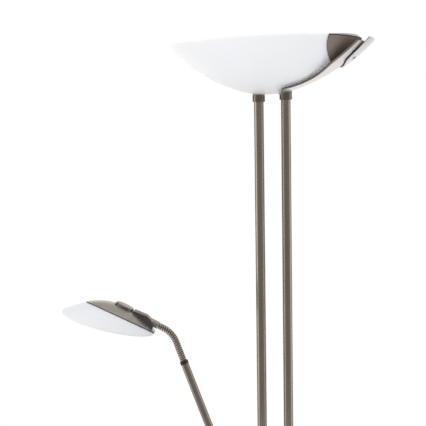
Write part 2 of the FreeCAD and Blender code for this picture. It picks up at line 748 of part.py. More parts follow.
def lamp_parts():
    """Plate, reflector trough, holders, linear lamp and pane inside the bowl."""
    plate = rod(plate_r, plate_z, plate_z + plate_t, plate_x)
    for y in (-tab_y, tab_y):
        plate = plate.fuse(block(tab_w, plate_t, trough_floor_z - plate_z, plate_x, y, plate_z))
        inward = y - math.copysign(tab_foot / 2 - plate_t / 2, y)
        plate = plate.fuse(block(tab_w, tab_foot, plate_t, plate_x, inward, trough_floor_z - plate_t))
    plate = in_bowl(plate.removeSplitter())
    for x in pole_xs:
        plate = plate.cut(rod(stud_hole_r, 0, rim_height, x))
    save("lamp_plate", plate)

    outer = frustum(trough_floor, trough_mouth, trough_floor_z, trough_mouth_z)
    inner_floor_z = trough_floor_z + trough_sheet
    inner = frustum(trough_floor, trough_mouth, inner_floor_z, trough_mouth_z + trough_sheet, -trough_sheet)
    save("reflector", in_bowl(outer.cut(inner)))

    half = lamp_len / 2
    holders = []
    for k in (-1, 1):
        middle = k * (half + holder_size[0] / 2)
        body = block(holder_size[0], holder_size[1], holder_size[2], middle, 0, inner_floor_z)
        start = Vector(k * half, 0, lamp_z)
        cone = rod_along(lamp_end_r + lamp_end_room, start, Vector(k, 0, 0), lamp_end_in + lamp_end_room)
        holders.append(body.cut(cone))
    save("lampholders", in_bowl(group(holders)))

    tube_half = half - lamp_end_len
    lamp = rod_along(lamp_tube_r, Vector(-tube_half, 0, lamp_z), Vector(1, 0, 0), 2 * tube_half)
    for k in (-1, 1):
        start = Vector(k * tube_half, 0, lamp_z)
        lamp = lamp.fuse(rod_along(lamp_end_r, start, Vector(k, 0, 0), lamp_end_len + lamp_end_in))
    save("linear_lamp", in_bowl(lamp.removeSplitter()))

    pane_x = trough_mouth[0] - 2 * pane_edge
    pane_y = trough_mouth[1] - 2 * pane_edge
    save("lamp_pane", in_bowl(block(pane_x, pane_y, pane_t, 0, 0, trough_mouth_z)))

    clips = []
    for k in (-1, 1):
        x0 = k * (trough_mouth[0] / 2 + fit_gap)
        x1 = x0 + k * clip_t
        back = x0 - k * clip_reach
        top = trough_mouth_z + pane_t
        low = trough_mouth_z - clip_drop
        shape = [(x0, low), (x0, top), (back, top), (back, top + clip_t), (x1, top + clip_t), (x1, low)]
        clips.append(side_plate(shape, -clip_w / 2, clip_w / 2))
    save("pane_clips", in_bowl(group(clips)))


# ---------------------------------------------------------------- dimmer housing


def stadium(half_depth, z0, height):
    """Upright prism around both poles with round ends."""
    box = block(pole_spacing, 2 * half_depth, height, 0, 0, z0)
    for x in pole_xs:
        box = box.fuse(rod(half_depth, z0, z0 + height, x))
    return box.removeSplitter()


def dimmer_knob(x):
    """Moulded knob with flutes, a raised pointer line and its own spindle."""
    start = -housing_half_depth - side_gap
    knob = rod_along(knob_r, Vector(x, start, housing_z), FRONT, knob_t)
    knob = knob.makeChamfer(knob_edge, [e for e in knob.Edges if e.BoundBox.YMax < start - knob_t + 0.01])
    for k in range(knob_flutes):
        a = 2 * math.pi * (k + 0.5) / knob_flutes
        spot = Vector(x + knob_r * math.cos(a), start - knob_skirt, housing_z + knob_r * math.sin(a))
        knob = knob.cut(rod_along(knob_flute_r, spot, FRONT, knob_t))
    mark_w, mark_l, mark_t = knob_mark
    face = start - knob_t
    mark_z = housing_z + knob_r - knob_mark_inset - mark_l
    mark = Part.makeBox(mark_w, mark_t + 0.5, mark_l, Vector(x - mark_w / 2, face - mark_t, mark_z))
    spindle_from = pot_back - pot_floor - side_gap
    spindle = rod_along(shaft_r, Vector(x, spindle_from, housing_z), FRONT, spindle_from - start + 1)
    return knob.fuse([mark, spindle]).removeSplitter()


def dimmer_parts():
    z0 = housing_z - housing_h / 2
    outer = stadium(housing_half_depth, z0, housing_h)
    outer = outer.makeFillet(housing_edge_r, level_edges(outer))
    cavity = stadium(housing_half_depth - housing_wall, z0 + housing_wall, housing_h - 2 * housing_wall)
    shell = outer.cut(cavity)
    for x in pole_xs:
        shell = shell.cut(rod(pole_r + fit_gap, z0 - 1, z0 + housing_h + 1, x))

    reach = housing_half_depth - housing_wall
    front_half = Part.makeBox(2 * beyond, beyond, 2 * beyond, Vector(-beyond, -beyond, z0 - beyond))
    back_half = Part.makeBox(2 * beyond, beyond, 2 * beyond, Vector(-beyond, 0, z0 - beyond))
    front = shell.common(front_half)
    back = shell.common(back_half)
    screws = []
    for dz in (-boss_dz, boss_dz):
        z = housing_z + dz
        front = front.fuse(rod_along(boss_r, Vector(0, 0, z), FRONT, reach + 0.5))
        back = back.fuse(rod_along(boss_r, Vector(0, 0, z), BACK, reach + 0.5))
        hole_end = Vector(0, -housing_screw_reach - 1, z)
        hole = rod_along(housing_screw_r + fit_gap, hole_end, BACK, beyond)
        head_y = housing_half_depth - housing_screw_head_t
        recess = rod_along(housing_screw_head_r + screw_head_gap, Vector(0, head_y, z), BACK, beyond)
        front = front.cut(hole)
        back = back.cut(hole).cut(recess)
        under_head = Vector(0, head_y, z)
        screw = rod_along(housing_screw_head_r, under_head, BACK, housing_screw_head_t - screw_head_gap)
        screw = screw.fuse(rod_along(housing_screw_r, under_head, FRONT, head_y + housing_screw_reach))
        screws.append(screw.removeSplitter())
    for x in knob_xs:
        front = front.cut(rod_along(shaft_r + run_gap, Vector(x, 0, housing_z), FRONT, housing_half_depth + 5))
    save("dimmer_housing_front", front.removeSplitter())
    save("dimmer_housing_back", back.removeSplitter())
    save("dimmer_screws", group(screws))

    board = block(board_size[0], board_size[1], board_size[2], 0, board_y, housing_z - board_size[2] / 2)
    save("dimmer_board", board)

    pots = []
    for x in knob_xs:
        pot = rod_along(pot_r, Vector(x, pot_back, housing_z), FRONT, pot_t)
        socket = rod_along(shaft_r + run_gap, Vector(x, pot_back - pot_floor, housing_z), FRONT, beyond)
        pots.append(pot.cut(socket))
    save("dimmer_pots", group(pots))
    save("uplight_dimmer_knob", dimmer_knob(knob_xs[0]))
    save("reading_dimmer_knob", dimmer_knob(knob_xs[1]))


# ---------------------------------------------------------------- arm


lean = math.radians(arm_lean)
arm_dir = Vector(-math.sin(lean), 0, math.cos(lean))
pivot = Vector(pivot_x, 0, swivel_z)
arm_top = pivot + arm_dir * arm_len


def swivel_parts():
    z0 = swivel_z - swivel_h / 2
    z1 = z0 + swivel_h
    collar = rod(swivel_r, z0, z1, left_x)
    collar = collar.makeChamfer(swivel_edge, level_edges(collar))
    tongue = block(left_x - pivot_x, tongue_t, 2 * tongue_r, (left_x + pivot_x) / 2, 0, swivel_z - tongue_r)
    tongue = tongue.fuse(rod_along(tongue_r, pivot - BACK * tongue_t / 2, BACK, tongue_t))
    collar = collar.fuse(tongue)
    collar = collar.cut(rod(pole_r + run_gap, z0 - 1, z1 + 1, left_x))
    collar = collar.cut(rod_along(pivot_r + run_gap, pivot - BACK * beyond, BACK, 2 * beyond))
    save("arm_collar", collar.removeSplitter())

    rings, grubs = [], []
    for low in (z0 - side_gap - stop_ring_h, z1 + side_gap):
        ring = rod(stop_ring_r, low, low + stop_ring_h, left_x)
        ring = ring.makeChamfer(stop_ring_edge, level_edges(ring))
        middle = Vector(left_x, pole_r + fit_gap, low + stop_ring_h / 2)
        ring = ring.cut(rod(pole_r + fit_gap, low - 1, low + stop_ring_h + 1, left_x))
        rings.append(ring.cut(rod_along(grub_r + fit_gap, middle - BACK * 2, BACK, beyond)))
        grubs.append(rod_along(grub_r, middle, BACK, stop_ring_r - pole_r - grub_inset))
    save("stop_rings", group(rings))
    save("stop_ring_screws", group(grubs))


def clamp_knob(start):
    """Lobed knob on the pivot screw."""
    knob = rod_along(clamp_waist_r, start, FRONT, clamp_t)
    for k in range(clamp_lobes):
        a = 2 * math.pi * k / clamp_lobes + math.pi / 2
        away = clamp_r - clamp_lobe_r
        spot = start + Vector(away * math.cos(a), 0, away * math.sin(a))
        knob = knob.fuse(rod_along(clamp_lobe_r, spot, FRONT, clamp_t))
    knob = knob.removeSplitter()
    knob = knob.makeChamfer(clamp_edge, [e for e in knob.Edges if e.BoundBox.YMax < start.y - clamp_t + 0.01])
    return knob.cut(rod_along(pivot_r + run_gap, start + BACK, FRONT, clamp_t - clamp_wall + 1))


def arm_parts():
    cheek_in = tongue_t / 2 + friction_t + 2 * run_gap
    cheek_out = cheek_in + cheek_t
    fork_h = arm_socket_from + fork_overlap
    foot = rod_along(arm_socket_r, pivot + arm_dir * arm_socket_from, arm_dir, arm_socket_to - arm_socket_from)
    across = Vector(arm_dir.z, 0, -arm_dir.x)
    for y0 in (-cheek_out, cheek_in):
        corner = pivot + Vector(0, y0, 0) - across * cheek_r
        other = corner + across * 2 * cheek_r
        flat = [corner, other, other + arm_dir * fork_h, corner + arm_dir * fork_h]
        plate = Part.Face(Part.makePolygon(flat + flat[:1])).extrude(Vector(0, cheek_t, 0))
        foot = foot.fuse(plate).fuse(rod_along(cheek_r, pivot + Vector(0, y0, 0), BACK, cheek_t))
    slot = rod_along(tongue_r + fork_room, pivot - BACK * cheek_in, BACK, 2 * cheek_in)
    foot = foot.cut(slot)
    tube_from = arm_socket_from + arm_seat
    foot = foot.cut(rod_along(arm_r + fit_gap, pivot + arm_dir * tube_from, arm_dir, beyond))
    foot = foot.cut(rod_along(pivot_r + fit_gap, pivot - BACK * beyond, BACK, 2 * beyond))
    save("arm_foot", foot.removeSplitter())

    washers = []
    for y0 in (tongue_t / 2 + run_gap, -tongue_t / 2 - run_gap - friction_t):
        washer = rod_along(cheek_r - friction_inset, pivot + Vector(0, y0, 0), BACK, friction_t)
        washers.append(washer.cut(rod_along(pivot_r + fit_gap, pivot - BACK * beyond, BACK, 2 * beyond)))
    save("friction_washers", group(washers))

    screw = rod_along(pivot_head_r, pivot + BACK * cheek_out, BACK, pivot_head_t)
    face_y = cheek_out + pivot_head_t
    screw = screw.makeChamfer(pivot_head_edge, [e for e in screw.Edges if e.BoundBox.YMin > face_y - 0.01])
    shank_len = 2 * cheek_out + side_gap + clamp_t - clamp_wall - clamp_end_gap
    shank = rod_along(pivot_r, pivot + BACK * cheek_out, FRONT, shank_len)
    save("pivot_screw", screw.fuse(shank).removeSplitter())
    save("clamp_knob", clamp_knob(pivot + FRONT * (cheek_out + side_gap)))

    tube = rod_along(arm_r, pivot + arm_dir * tube_from, arm_dir, arm_len - tube_from)
    tube = tube.cut(rod_along(arm_bore_r, pivot, arm_dir, arm_len + beyond))
    save("arm_tube", tube)

    ferrule = rod_along(ferrule_r, arm_top - arm_dir * (ferrule_h - ferrule_wall), arm_dir, ferrule_h)
    ferrule = ferrule.cut(rod_along(arm_r + fit_gap, arm_top - arm_dir * beyond, arm_dir, beyond))
    save("arm_ferrule", ferrule.cut(rod_along(neck_crest_r + fit_gap, arm_top - arm_dir, arm_dir, beyond)))


class Neck:
    """Centre line of the gooseneck: a straight run, one bend, a short straight run."""

    def __init__(self):
        self.turn = math.radians(90 - arm_lean - neck_end_deg)
        self.arc = neck_bend_r * self.turn
        self.total = neck_straight + self.arc + neck_end_straight
        self.bend_start = arm_top + arm_dir * neck_straight
        self.centre = self.bend_start + Vector(-arm_dir.z, 0, arm_dir.x) * neck_bend_r

    def at(self, s):
        """Point and direction at distance s from the arm."""
        if s <= neck_straight:
            return arm_top + arm_dir * s, arm_dir
        angle = min(s - neck_straight, self.arc) / neck_bend_r
        way = Rotation(FRONT, math.degrees(angle)).multVec(arm_dir)
        spot = self.centre + Rotation(FRONT, math.degrees(angle)).multVec(self.bend_start - self.centre)
        return spot + way * max(0.0, s - neck_straight - self.arc), way

    def circle(self, s, r):
        spot, way = self.at(s)
        ring = Part.Wire(Part.makeCircle(r))
        ring.Placement = Placement(spot, Rotation(BACK, way.cross(BACK), way, "ZXY"))
        return ring


neck = Neck()


def gooseneck():
    """Metal hose with one rounded rib after the other, and its bore."""
    pitch = neck.total / neck_rib_count
    crest_from, crest_to, root_from = neck_rib_shape
    shape = ((0.0, neck_root_r), (crest_from, neck_crest_r), (crest_to, neck_crest_r), (root_from, neck_root_r))
    rings = [neck.circle((k + at) * pitch, r) for k in range(neck_rib_count) for at, r in shape]
    rings.append(neck.circle(neck.total, neck_root_r))
    hose = Part.makeLoft(rings, True, True)
    step = neck.total / neck_bore_steps
    bore_rings = [neck.circle(k * step, neck_bore_r) for k in range(neck_bore_steps + 1)]
    return hose.cut(Part.makeLoft(bore_rings, True, True))


# ---------------------------------------------------------------- reading head


neck_end, neck_way = neck.at(neck.total)
tilt = Rotation(BACK, head_tilt)
head_origin = neck_end - tilt.multVec(Vector(connector_end[0], 0, connector_end[1]))
head_place = Placement(head_origin, tilt)
head = Dish(head_r, head_depth, head_crown_r, head_crown_deg)
flip = Placement(Vector(0, 0, 0), Rotation(Vector(1, 0, 0), 180))


def in_head(shape):
    placed = shape.copy()
    placed.Placement = head_place.multiply(placed.Placement)
    return placed


def domed(shape):
    """The dish turned over, so that it opens downwards."""
    placed = shape.copy()
    placed.Placement = flip.multiply(placed.Placement)
    return placed


def head_parts():
    crown_centre = Vector(0, 0, head_depth - head_crown_r)
    fix_angle = math.asin(head_fix_x / head_crown_r)
    fix_dir = Vector(math.sin(fix_angle), 0, math.cos(fix_angle))
    fix_spot = crown_centre + fix_dir * head_crown_r

    def fix_rod(r, from_off, to_off):
        return rod_along(r, fix_spot + fix_dir * from_off, fix_dir, to_off - from_off)

    floor_off = -head_wall - head_washer_t
    nipple_top = head_leaf_out + tongue_sheet + cap_t - cap_over_nipple
    nipple_low = floor_off - reflector_sheet - head_nut_t - 1
    bore = fix_rod(nipple_r + fit_gap, nipple_low - 1, nipple_top + 0.05)
    wide_bore = fix_rod(nipple_r + stud_clear, -head_depth, head_depth)
    save("head_glass", in_head(domed(head.shell(-head_wall, 0)).cut(wide_bore)))

    leaf = domed(head.shell(head_leaf_gap, head_leaf_out, round_lip=False))
    slope = math.radians(head_leaf_cut_slope)
    dip = math.radians(head_leaf_cut_dip)
    normal = Vector(math.tan(slope), math.tan(dip), 1).normalize()
    cut_spot = Vector(head_leaf_cut_x, 0, head_leaf_cut_z)
    below = rod_along(beyond, cut_spot - normal * beyond, normal, beyond)
    leaf = leaf.cut(below)
    leaf = sorted(leaf.Solids, key=lambda s: s.Volume)[-1]
    save("head_leaf", in_head(leaf.cut(bore)))

    under_glass = domed(head.solid(-head_wall, head_depth))
    under_gasket = domed(head.solid(floor_off, head_depth))
    under_reflector = domed(head.solid(floor_off - reflector_sheet, head_depth))
    on_leaf = domed(head.solid(head_leaf_out, head_depth))
    on_tongue = domed(head.solid(head_leaf_out + tongue_sheet, head_depth))
    tongue_x = head_fix_x - tongue_lead + tongue_len / 2
    tongue = block(tongue_len, tongue_w, beyond, tongue_x, 0, 0).common(on_tongue)
    root = [(bracket_top[0][0], 0.0)] + bracket_top + [(bracket_top[-1][0] - bracket_foot, 0.0)]
    bracket = tongue.fuse(side_plate(root, -bracket_w / 2, bracket_w / 2)).cut(on_leaf)
    bracket = sorted(bracket.Solids, key=lambda s: s.Volume)[-1]
    way = tilt.inverted().multVec(neck_way)
    conn_end = Vector(connector_end[0], 0, connector_end[1])
    connector = rod_along(connector_r, conn_end, way, connector_len)
    bracket = bracket.cut(rod_along(connector_r + fit_gap, conn_end, way, connector_len + fit_gap)).cut(bore)
    save("neck_bracket", in_head(sorted(bracket.Solids, key=lambda s: s.Volume)[-1]))
    connector = connector.makeChamfer(connector_edge, [connector.Edges[0], connector.Edges[2]])
    connector = connector.cut(rod_along(neck_bore_r, conn_end, way, connector_len - connector_end_wall))
    connector = connector.cut(on_leaf)
    save("neck_connector", in_head(sorted(connector.Solids, key=lambda s: s.Volume)[-1]))

    seat_off = head_leaf_out + tongue_sheet
    cap = fix_rod(cap_r, seat_off, seat_off + cap_t)
    cap = cap.makeChamfer(cap_edge, [e for e in cap.Edges if e.BoundBox.ZMin > cap.BoundBox.ZMax - cap_r * 0.7])
    cap = cap.cut(on_tongue).cut(bore)
    save("head_cap", in_head(sorted(cap.Solids, key=lambda s: s.Volume)[-1]))

    nipple = fix_rod(nipple_r, nipple_low, nipple_top)
    save("head_nipple", in_head(nipple.cut(fix_rod(nipple_bore_r, nipple_low - 1, nipple_top + 1))))
    gasket = fix_rod(head_washer_r, -head_depth / 2, head_wall).common(under_glass)
    save("head_gasket", in_head(gasket.cut(under_gasket).cut(wide_bore)))

    reflector = domed(head.shell(floor_off - reflector_sheet, floor_off, round_lip=False))
    reflector = reflector.common(rod(reflector_r, -beyond, beyond))
    save("head_reflector", in_head(reflector.cut(wide_bore)))
    nut = fix_rod(nipple_r + head_nut_wall, nipple_low + 1, 0).common(under_reflector)
    save("head_nut", in_head(nut.cut(fix_rod(nipple_r + fit_gap, -head_depth, head_depth))))

    holder_z = head_lamp_z - holder_under
    holder = block(holder_size_head[0], holder_size_head[1], head_depth, holder_x, 0, holder_z)
    save("head_lampholder", in_head(holder.common(under_reflector)))
    start = Vector(holder_x + holder_size_head[0] / 2, 0, head_lamp_z)
    capsule = rod_along(capsule_r, start, Vector(1, 0, 0), capsule_len - capsule_r)
    capsule = capsule.fuse(ball(capsule_r, start + Vector(capsule_len - capsule_r, 0, 0)))
    save("head_lamp", in_head(capsule.removeSplitter()))


os.makedirs("parts", exist_ok=True)
foot_plugs = base_parts()
pole_ends, top_plugs = bowl_parts()
pole_parts(pole_ends)
save("pole_plugs", group(foot_plugs + top_plugs))
lamp_parts()
dimmer_parts()
swivel_parts()
arm_parts()
save("gooseneck", gooseneck())
head_parts()
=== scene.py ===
import math

import bmesh
import bpy
from mathutils import Matrix, Vector


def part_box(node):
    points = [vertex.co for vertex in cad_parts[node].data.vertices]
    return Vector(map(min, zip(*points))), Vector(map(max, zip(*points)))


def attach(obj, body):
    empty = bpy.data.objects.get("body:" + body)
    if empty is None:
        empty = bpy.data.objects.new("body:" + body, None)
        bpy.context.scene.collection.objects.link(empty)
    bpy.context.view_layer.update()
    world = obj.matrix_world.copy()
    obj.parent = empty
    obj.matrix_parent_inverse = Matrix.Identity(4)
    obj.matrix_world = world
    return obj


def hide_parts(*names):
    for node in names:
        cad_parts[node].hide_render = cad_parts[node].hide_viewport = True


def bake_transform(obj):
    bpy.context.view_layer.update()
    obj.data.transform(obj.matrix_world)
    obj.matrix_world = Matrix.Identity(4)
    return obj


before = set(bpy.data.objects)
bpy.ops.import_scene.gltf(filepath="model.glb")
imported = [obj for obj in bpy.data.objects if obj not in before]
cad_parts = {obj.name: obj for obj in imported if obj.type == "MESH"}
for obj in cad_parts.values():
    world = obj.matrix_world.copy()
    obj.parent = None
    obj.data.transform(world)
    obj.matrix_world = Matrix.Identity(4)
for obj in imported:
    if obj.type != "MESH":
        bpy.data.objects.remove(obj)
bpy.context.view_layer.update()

# ---------------------------------------------------------------- camera and studio
# The view of the photograph: from a little below the bowl, left of the poles, with a long lens.
# The lamp stands on a pale floor in a white studio, with soft light from all round and from two softboxes.

scene = bpy.context.scene
eye = Vector((-0.0992, -1.7154, 1.654))
look_down = math.radians(4.26)
roll = math.radians(0.8)
frame_px = 426
focal_px = 1046
sensor_mm = 36

camera_data = bpy.data.cameras.new("camera")
camera_data.sensor_width = sensor_mm
camera_data.lens = focal_px / frame_px * sensor_mm
camera_data.clip_start = 0.05
camera_data.clip_end = 60
camera = bpy.data.objects.new("camera", camera_data)
camera.matrix_world = (
    Matrix.Translation(eye)
    @ Matrix.Rotation(math.pi / 2 - look_down, 4, "X")
    @ Matrix.Rotation(-roll, 4, "Z")
)
scene.collection.objects.link(camera)
scene.camera = camera
scene.view_settings.view_transform = "Standard"


def wire(tree, *links):
    """Links sockets; each link is a source node, its socket, a target node and its socket."""
    for source, out, target, into in links:
        tree.links.new(source.outputs[out], target.inputs[into])


def add(tree, kind, **values):
    """New shader node; each value is set on the input or property of that name."""
    node = tree.nodes.new(kind)
    for name, value in values.items():
        label = name.replace("_", " ")
        if label in node.inputs:
            node.inputs[label].default_value = value
        else:
            setattr(node, name, value)
    return node


def maths(tree, operation, *terms):
    """Math node whose terms are numbers or (node, socket) pairs."""
    node = add(tree, "ShaderNodeMath", operation=operation)
    for k, term in enumerate(terms):
        if isinstance(term, tuple):
            wire(tree, (*term, node, k))
        else:
            node.inputs[k].default_value = term
    return node


def tone(red, green, blue):
    """Colour as seen on screen, from 0 to 255, to the shader's linear scale."""
    return tuple(
        ((c / 255 + 0.055) / 1.055) ** 2.4 if c > 10 else c / 255 / 12.92 for c in (red, green, blue)
    ) + (1.0,)


def ramp(tree, stops):
    """Ramp through (position, grey level) stops from left to right, in a slightly warm grey."""
    green, blue = 0.985, 0.965
    node = add(tree, "ShaderNodeValToRGB")
    marks = node.color_ramp.elements
    for spot, (position, level) in ((0, stops[0]), (-1, stops[-1])):
        marks[spot].position = position
        marks[spot].color = (level, level * green, level * blue, 1.0)
    for position, level in stops[1:-1]:
        marks.new(position).color = (level, level * green, level * blue, 1.0)
    return node


def studio_world():
    """White for the camera and soft white for what it lights.

    Metal that the camera sees mirrors a dim room with a light wall on each side and a white one behind.
    """
    world = bpy.data.worlds.new("studio")
    scene.world = world
    world.use_nodes = True
    tree = world.node_tree
    tree.nodes.clear()
    place = add(tree, "ShaderNodeTexCoord")
    direction = add(tree, "ShaderNodeSeparateXYZ")
    forward = maths(tree, "MULTIPLY", (direction, "Y"), -1.0)
    bearing = maths(tree, "ARCTAN2", (direction, "X"), (forward, 0))
    turn = add(tree, "ShaderNodeMapRange", From_Min=-math.pi, From_Max=math.pi)
    height = add(tree, "ShaderNodeMapRange", From_Min=-1.0, From_Max=1.0)
    behind_left = [(0.0, 1.0), (0.07, 1.0), (0.11, 0.14), (0.19, 0.16)]
    left = [(0.22, 0.95), (0.28, 0.95), (0.33, 0.2)]
    front = [(0.5, 0.17), (0.68, 0.22)]
    right = [(0.72, 0.7), (0.78, 0.85), (0.81, 0.18)]
    behind_right = [(0.88, 0.2), (0.92, 1.0), (1.0, 1.0)]
    walls = ramp(tree, behind_left + left + front + right + behind_right)
    overhead = ramp(tree, [(0.6, 0.3), (0.8, 0.36), (1.0, 0.55)])
    wall_share = ramp(tree, [(0.6, 1.0), (0.76, 0.0)])
    room_tone = add(tree, "ShaderNodeMix", data_type="RGBA")
    soft = add(tree, "ShaderNodeBackground", Color=(0.985, 0.99, 1.0, 1), Strength=0.9)
    room = add(tree, "ShaderNodeBackground", Strength=1.0)
    white = add(tree, "ShaderNodeBackground", Color=(1, 1, 1, 1), Strength=1.0)
    path = add(tree, "ShaderNodeLightPath")
    seen_directly = maths(tree, "LESS_THAN", (path, "Diffuse Depth"), 0.5)
    mirrored = maths(tree, "MULTIPLY", (path, "Is Glossy Ray"), (seen_directly, 0))
    lit, through, shown = (add(tree, "ShaderNodeMixShader") for _ in range(3))
    wire(
        tree,
        (place, "Generated", direction, 0),
        (bearing, 0, turn, "Value"),
        (turn, "Result", walls, "Fac"),
        (direction, "Z", height, "Value"),
        (height, "Result", overhead, "Fac"),
        (height, "Result", wall_share, "Fac"),
        (wall_share, "Color", room_tone, "Factor"),
        (overhead, "Color", room_tone, 6),
        (walls, "Color", room_tone, 7),
        (room_tone, 2, room, "Color"),
        (mirrored, 0, lit, 0),
        (soft, 0, lit, 1),
        (room, 0, lit, 2),
        (path, "Is Transmission Ray", through, 0),
        (lit, 0, through, 1),
        (white, 0, through, 2),
        (path, "Is Camera Ray", shown, 0),
        (through, 0, shown, 1),
        (white, 0, shown, 2),
        (shown, 0, add(tree, "ShaderNodeOutputWorld"), "Surface"),
    )


studio_world()


def studio_floor():
    """Pale disc under the lamp that fades into the white studio, and for metal into the dim room."""
    radius = 2.4
    mesh = bpy.data.meshes.new("floor")
    shape = bmesh.new()
    bmesh.ops.create_circle(shape, cap_ends=True, segments=96, radius=radius)
    shape.to_mesh(mesh)
    shape.free()
    floor = bpy.data.objects.new("floor", mesh)
    scene.collection.objects.link(floor)
    material = bpy.data.materials.new("pale floor")
    material.use_nodes = True
    tree = material.node_tree
    tree.nodes.clear()
    place = add(tree, "ShaderNodeTexCoord")
    distance = add(tree, "ShaderNodeVectorMath", operation="LENGTH")
    fade = add(
        tree, "ShaderNodeMapRange", interpolation_type="SMOOTHSTEP",
        From_Min=0.25, From_Max=1.6, To_Min=0.35, To_Max=1.0,
    )
    far = add(tree, "ShaderNodeMapRange", From_Min=0.9, From_Max=2.3, To_Min=0.0, To_Max=0.8)
    path = add(tree, "ShaderNodeLightPath")
    glossy = (path, "Is Glossy Ray")
    shown_or_mirrored = maths(tree, "MAXIMUM", (path, "Is Camera Ray"), glossy)
    seen = maths(tree, "MAXIMUM", (shown_or_mirrored, 0), (path, "Is Transmission Ray"))
    white_share = maths(tree, "MULTIPLY", (seen, 0), (fade, "Result"))
    dimmed = maths(tree, "MULTIPLY", (far, "Result"), glossy)
    level = maths(tree, "SUBTRACT", 1.0, (dimmed, 0))
    matt = add(tree, "ShaderNodeBsdfDiffuse", Color=tone(240, 240, 240))
    white = add(tree, "ShaderNodeEmission", Color=(1, 1, 1, 1))
    mixed = add(tree, "ShaderNodeMixShader")
    wire(
        tree,
        (place, "Object", distance, 0),
        (distance, "Value", fade, "Value"),
        (distance, "Value", far, "Value"),
        (level, 0, white, "Strength"),
        (white_share, 0, mixed, 0),
        (matt, 0, mixed, 1),
        (white, 0, mixed, 2),
        (mixed, 0, add(tree, "ShaderNodeOutputMaterial"), "Surface"),
    )
    mesh.materials.append(material)


studio_floor()


def softbox(name, spot, target, width, height, power):
    """Rectangular light that looks at target."""
    light = bpy.data.lights.new(name, "AREA")
    light.shape = "RECTANGLE"
    light.size = width
    light.size_y = height
    light.energy = power
    lamp = bpy.data.objects.new(name, light)
    lamp.location = spot
    lamp.rotation_euler = (Vector(target) - Vector(spot)).to_track_quat("-Z", "Y").to_euler()
    lamp.visible_glossy = False
    scene.collection.objects.link(lamp)


softbox("softbox left", (-2.2, -0.6, 1.6), (0, 0, 1.5), 1.2, 2.2, 9)
softbox("softbox above", (-0.6, -0.9, 3.6), (0, 0, 1.4), 1.8, 1.4, 9)

# ---------------------------------------------------------------- foot pad
# A felt disc glued under the weight, so that the lamp doesn't scratch the floor.
# Die-cut, with two holes for the spanner.


def new_group(name, inputs, outputs):
    """Empty shader node group with the sockets named; inputs are (name, kind, value)."""
    group = bpy.data.node_groups.new(name, "ShaderNodeTree")
    for label, kind, value in inputs:
        socket = group.interface.new_socket(label, in_out="INPUT", socket_type="NodeSocket" + kind)
        socket.default_value = value
    for label, kind in outputs:
        group.interface.new_socket(label, in_out="OUTPUT", socket_type="NodeSocket" + kind)
    start = add(group, "NodeGroupInput")
    end = add(group, "NodeGroupOutput")
    return group, start, end


def grain_group():
    """Noise stretched along a direction: brushing, mould grain, felt or cast skin, as mask and normal."""
    group, start, end = new_group(
        "surface grain",
        [("Stretch", "Vector", (400, 400, 400)), ("Lean", "Float", 0.0), ("Detail", "Float", 3.0),
         ("Depth", "Float", 0.0002), ("Strength", "Float", 0.3)],
        [("Mask", "Float"), ("Normal", "Vector")],
    )
    place = add(group, "ShaderNodeTexCoord")
    lean = add(group, "ShaderNodeVectorRotate", rotation_type="Y_AXIS")
    stretch = add(group, "ShaderNodeVectorMath", operation="MULTIPLY")
    noise = add(group, "ShaderNodeTexNoise", Scale=1.0, Roughness=0.6)
    bump = add(group, "ShaderNodeBump")
    wire(
        group,
        (place, "Object", lean, "Vector"),
        (start, "Lean", lean, "Angle"),
        (lean, "Vector", stretch, 0),
        (start, "Stretch", stretch, 1),
        (stretch, 0, noise, "Vector"),
        (start, "Detail", noise, "Detail"),
        (noise, "Fac", bump, "Height"),
        (start, "Depth", bump, "Distance"),
        (start, "Strength", bump, "Strength"),
        (noise, "Fac", end, "Mask"),
        (bump, "Normal", end, "Normal"),
    )
    return group


def tint_group():
    """Two colours mixed by a mask, between two limits of it."""
    group, start, end = new_group(
        "two tones",
        [("Mask", "Float", 0.5), ("Low", "Float", 0.3), ("High", "Float", 0.7),
         ("Dark", "Color", (0, 0, 0, 1)), ("Light", "Color", (1, 1, 1, 1))],
        [("Color", "Color")],
    )
    spread = add(group, "ShaderNodeMapRange")
    mix = add(group, "ShaderNodeMix", data_type="RGBA")
    wire(
        group,
        (start, "Mask", spread, "Value"),
        (start, "Low", spread, "From Min"),
        (start, "High", spread, "From Max"),
        (spread, "Result", mix, "Factor"),
        (start, "Dark", mix, 6),
        (start, "Light", mix, 7),
        (mix, 2, end, "Color"),
    )
    return group


def spread_group():
    """A mask turned into a value between two limits, such as a roughness."""
    group, start, end = new_group(
        "value range",
        [("Mask", "Float", 0.5), ("From", "Float", 0.2), ("To", "Float", 0.4)],
        [("Value", "Float")],
    )
    spread = add(group, "ShaderNodeMapRange", From_Min=0.25, From_Max=0.75)
    wire(
        group,
        (start, "Mask", spread, "Value"),
        (start, "From", spread, "To Min"),
        (start, "To", spread, "To Max"),
        (spread, "Result", end, "Value"),
    )
    return group


grain = grain_group()
two_tones = tint_group()
value_range = spread_group()


def place_group(tree, group, **values):
    """Puts a node group into a material with its own values."""
    node = add(tree, "ShaderNodeGroup", node_tree=group)
    for name, value in values.items():
        node.inputs[name].default_value = value
    return node


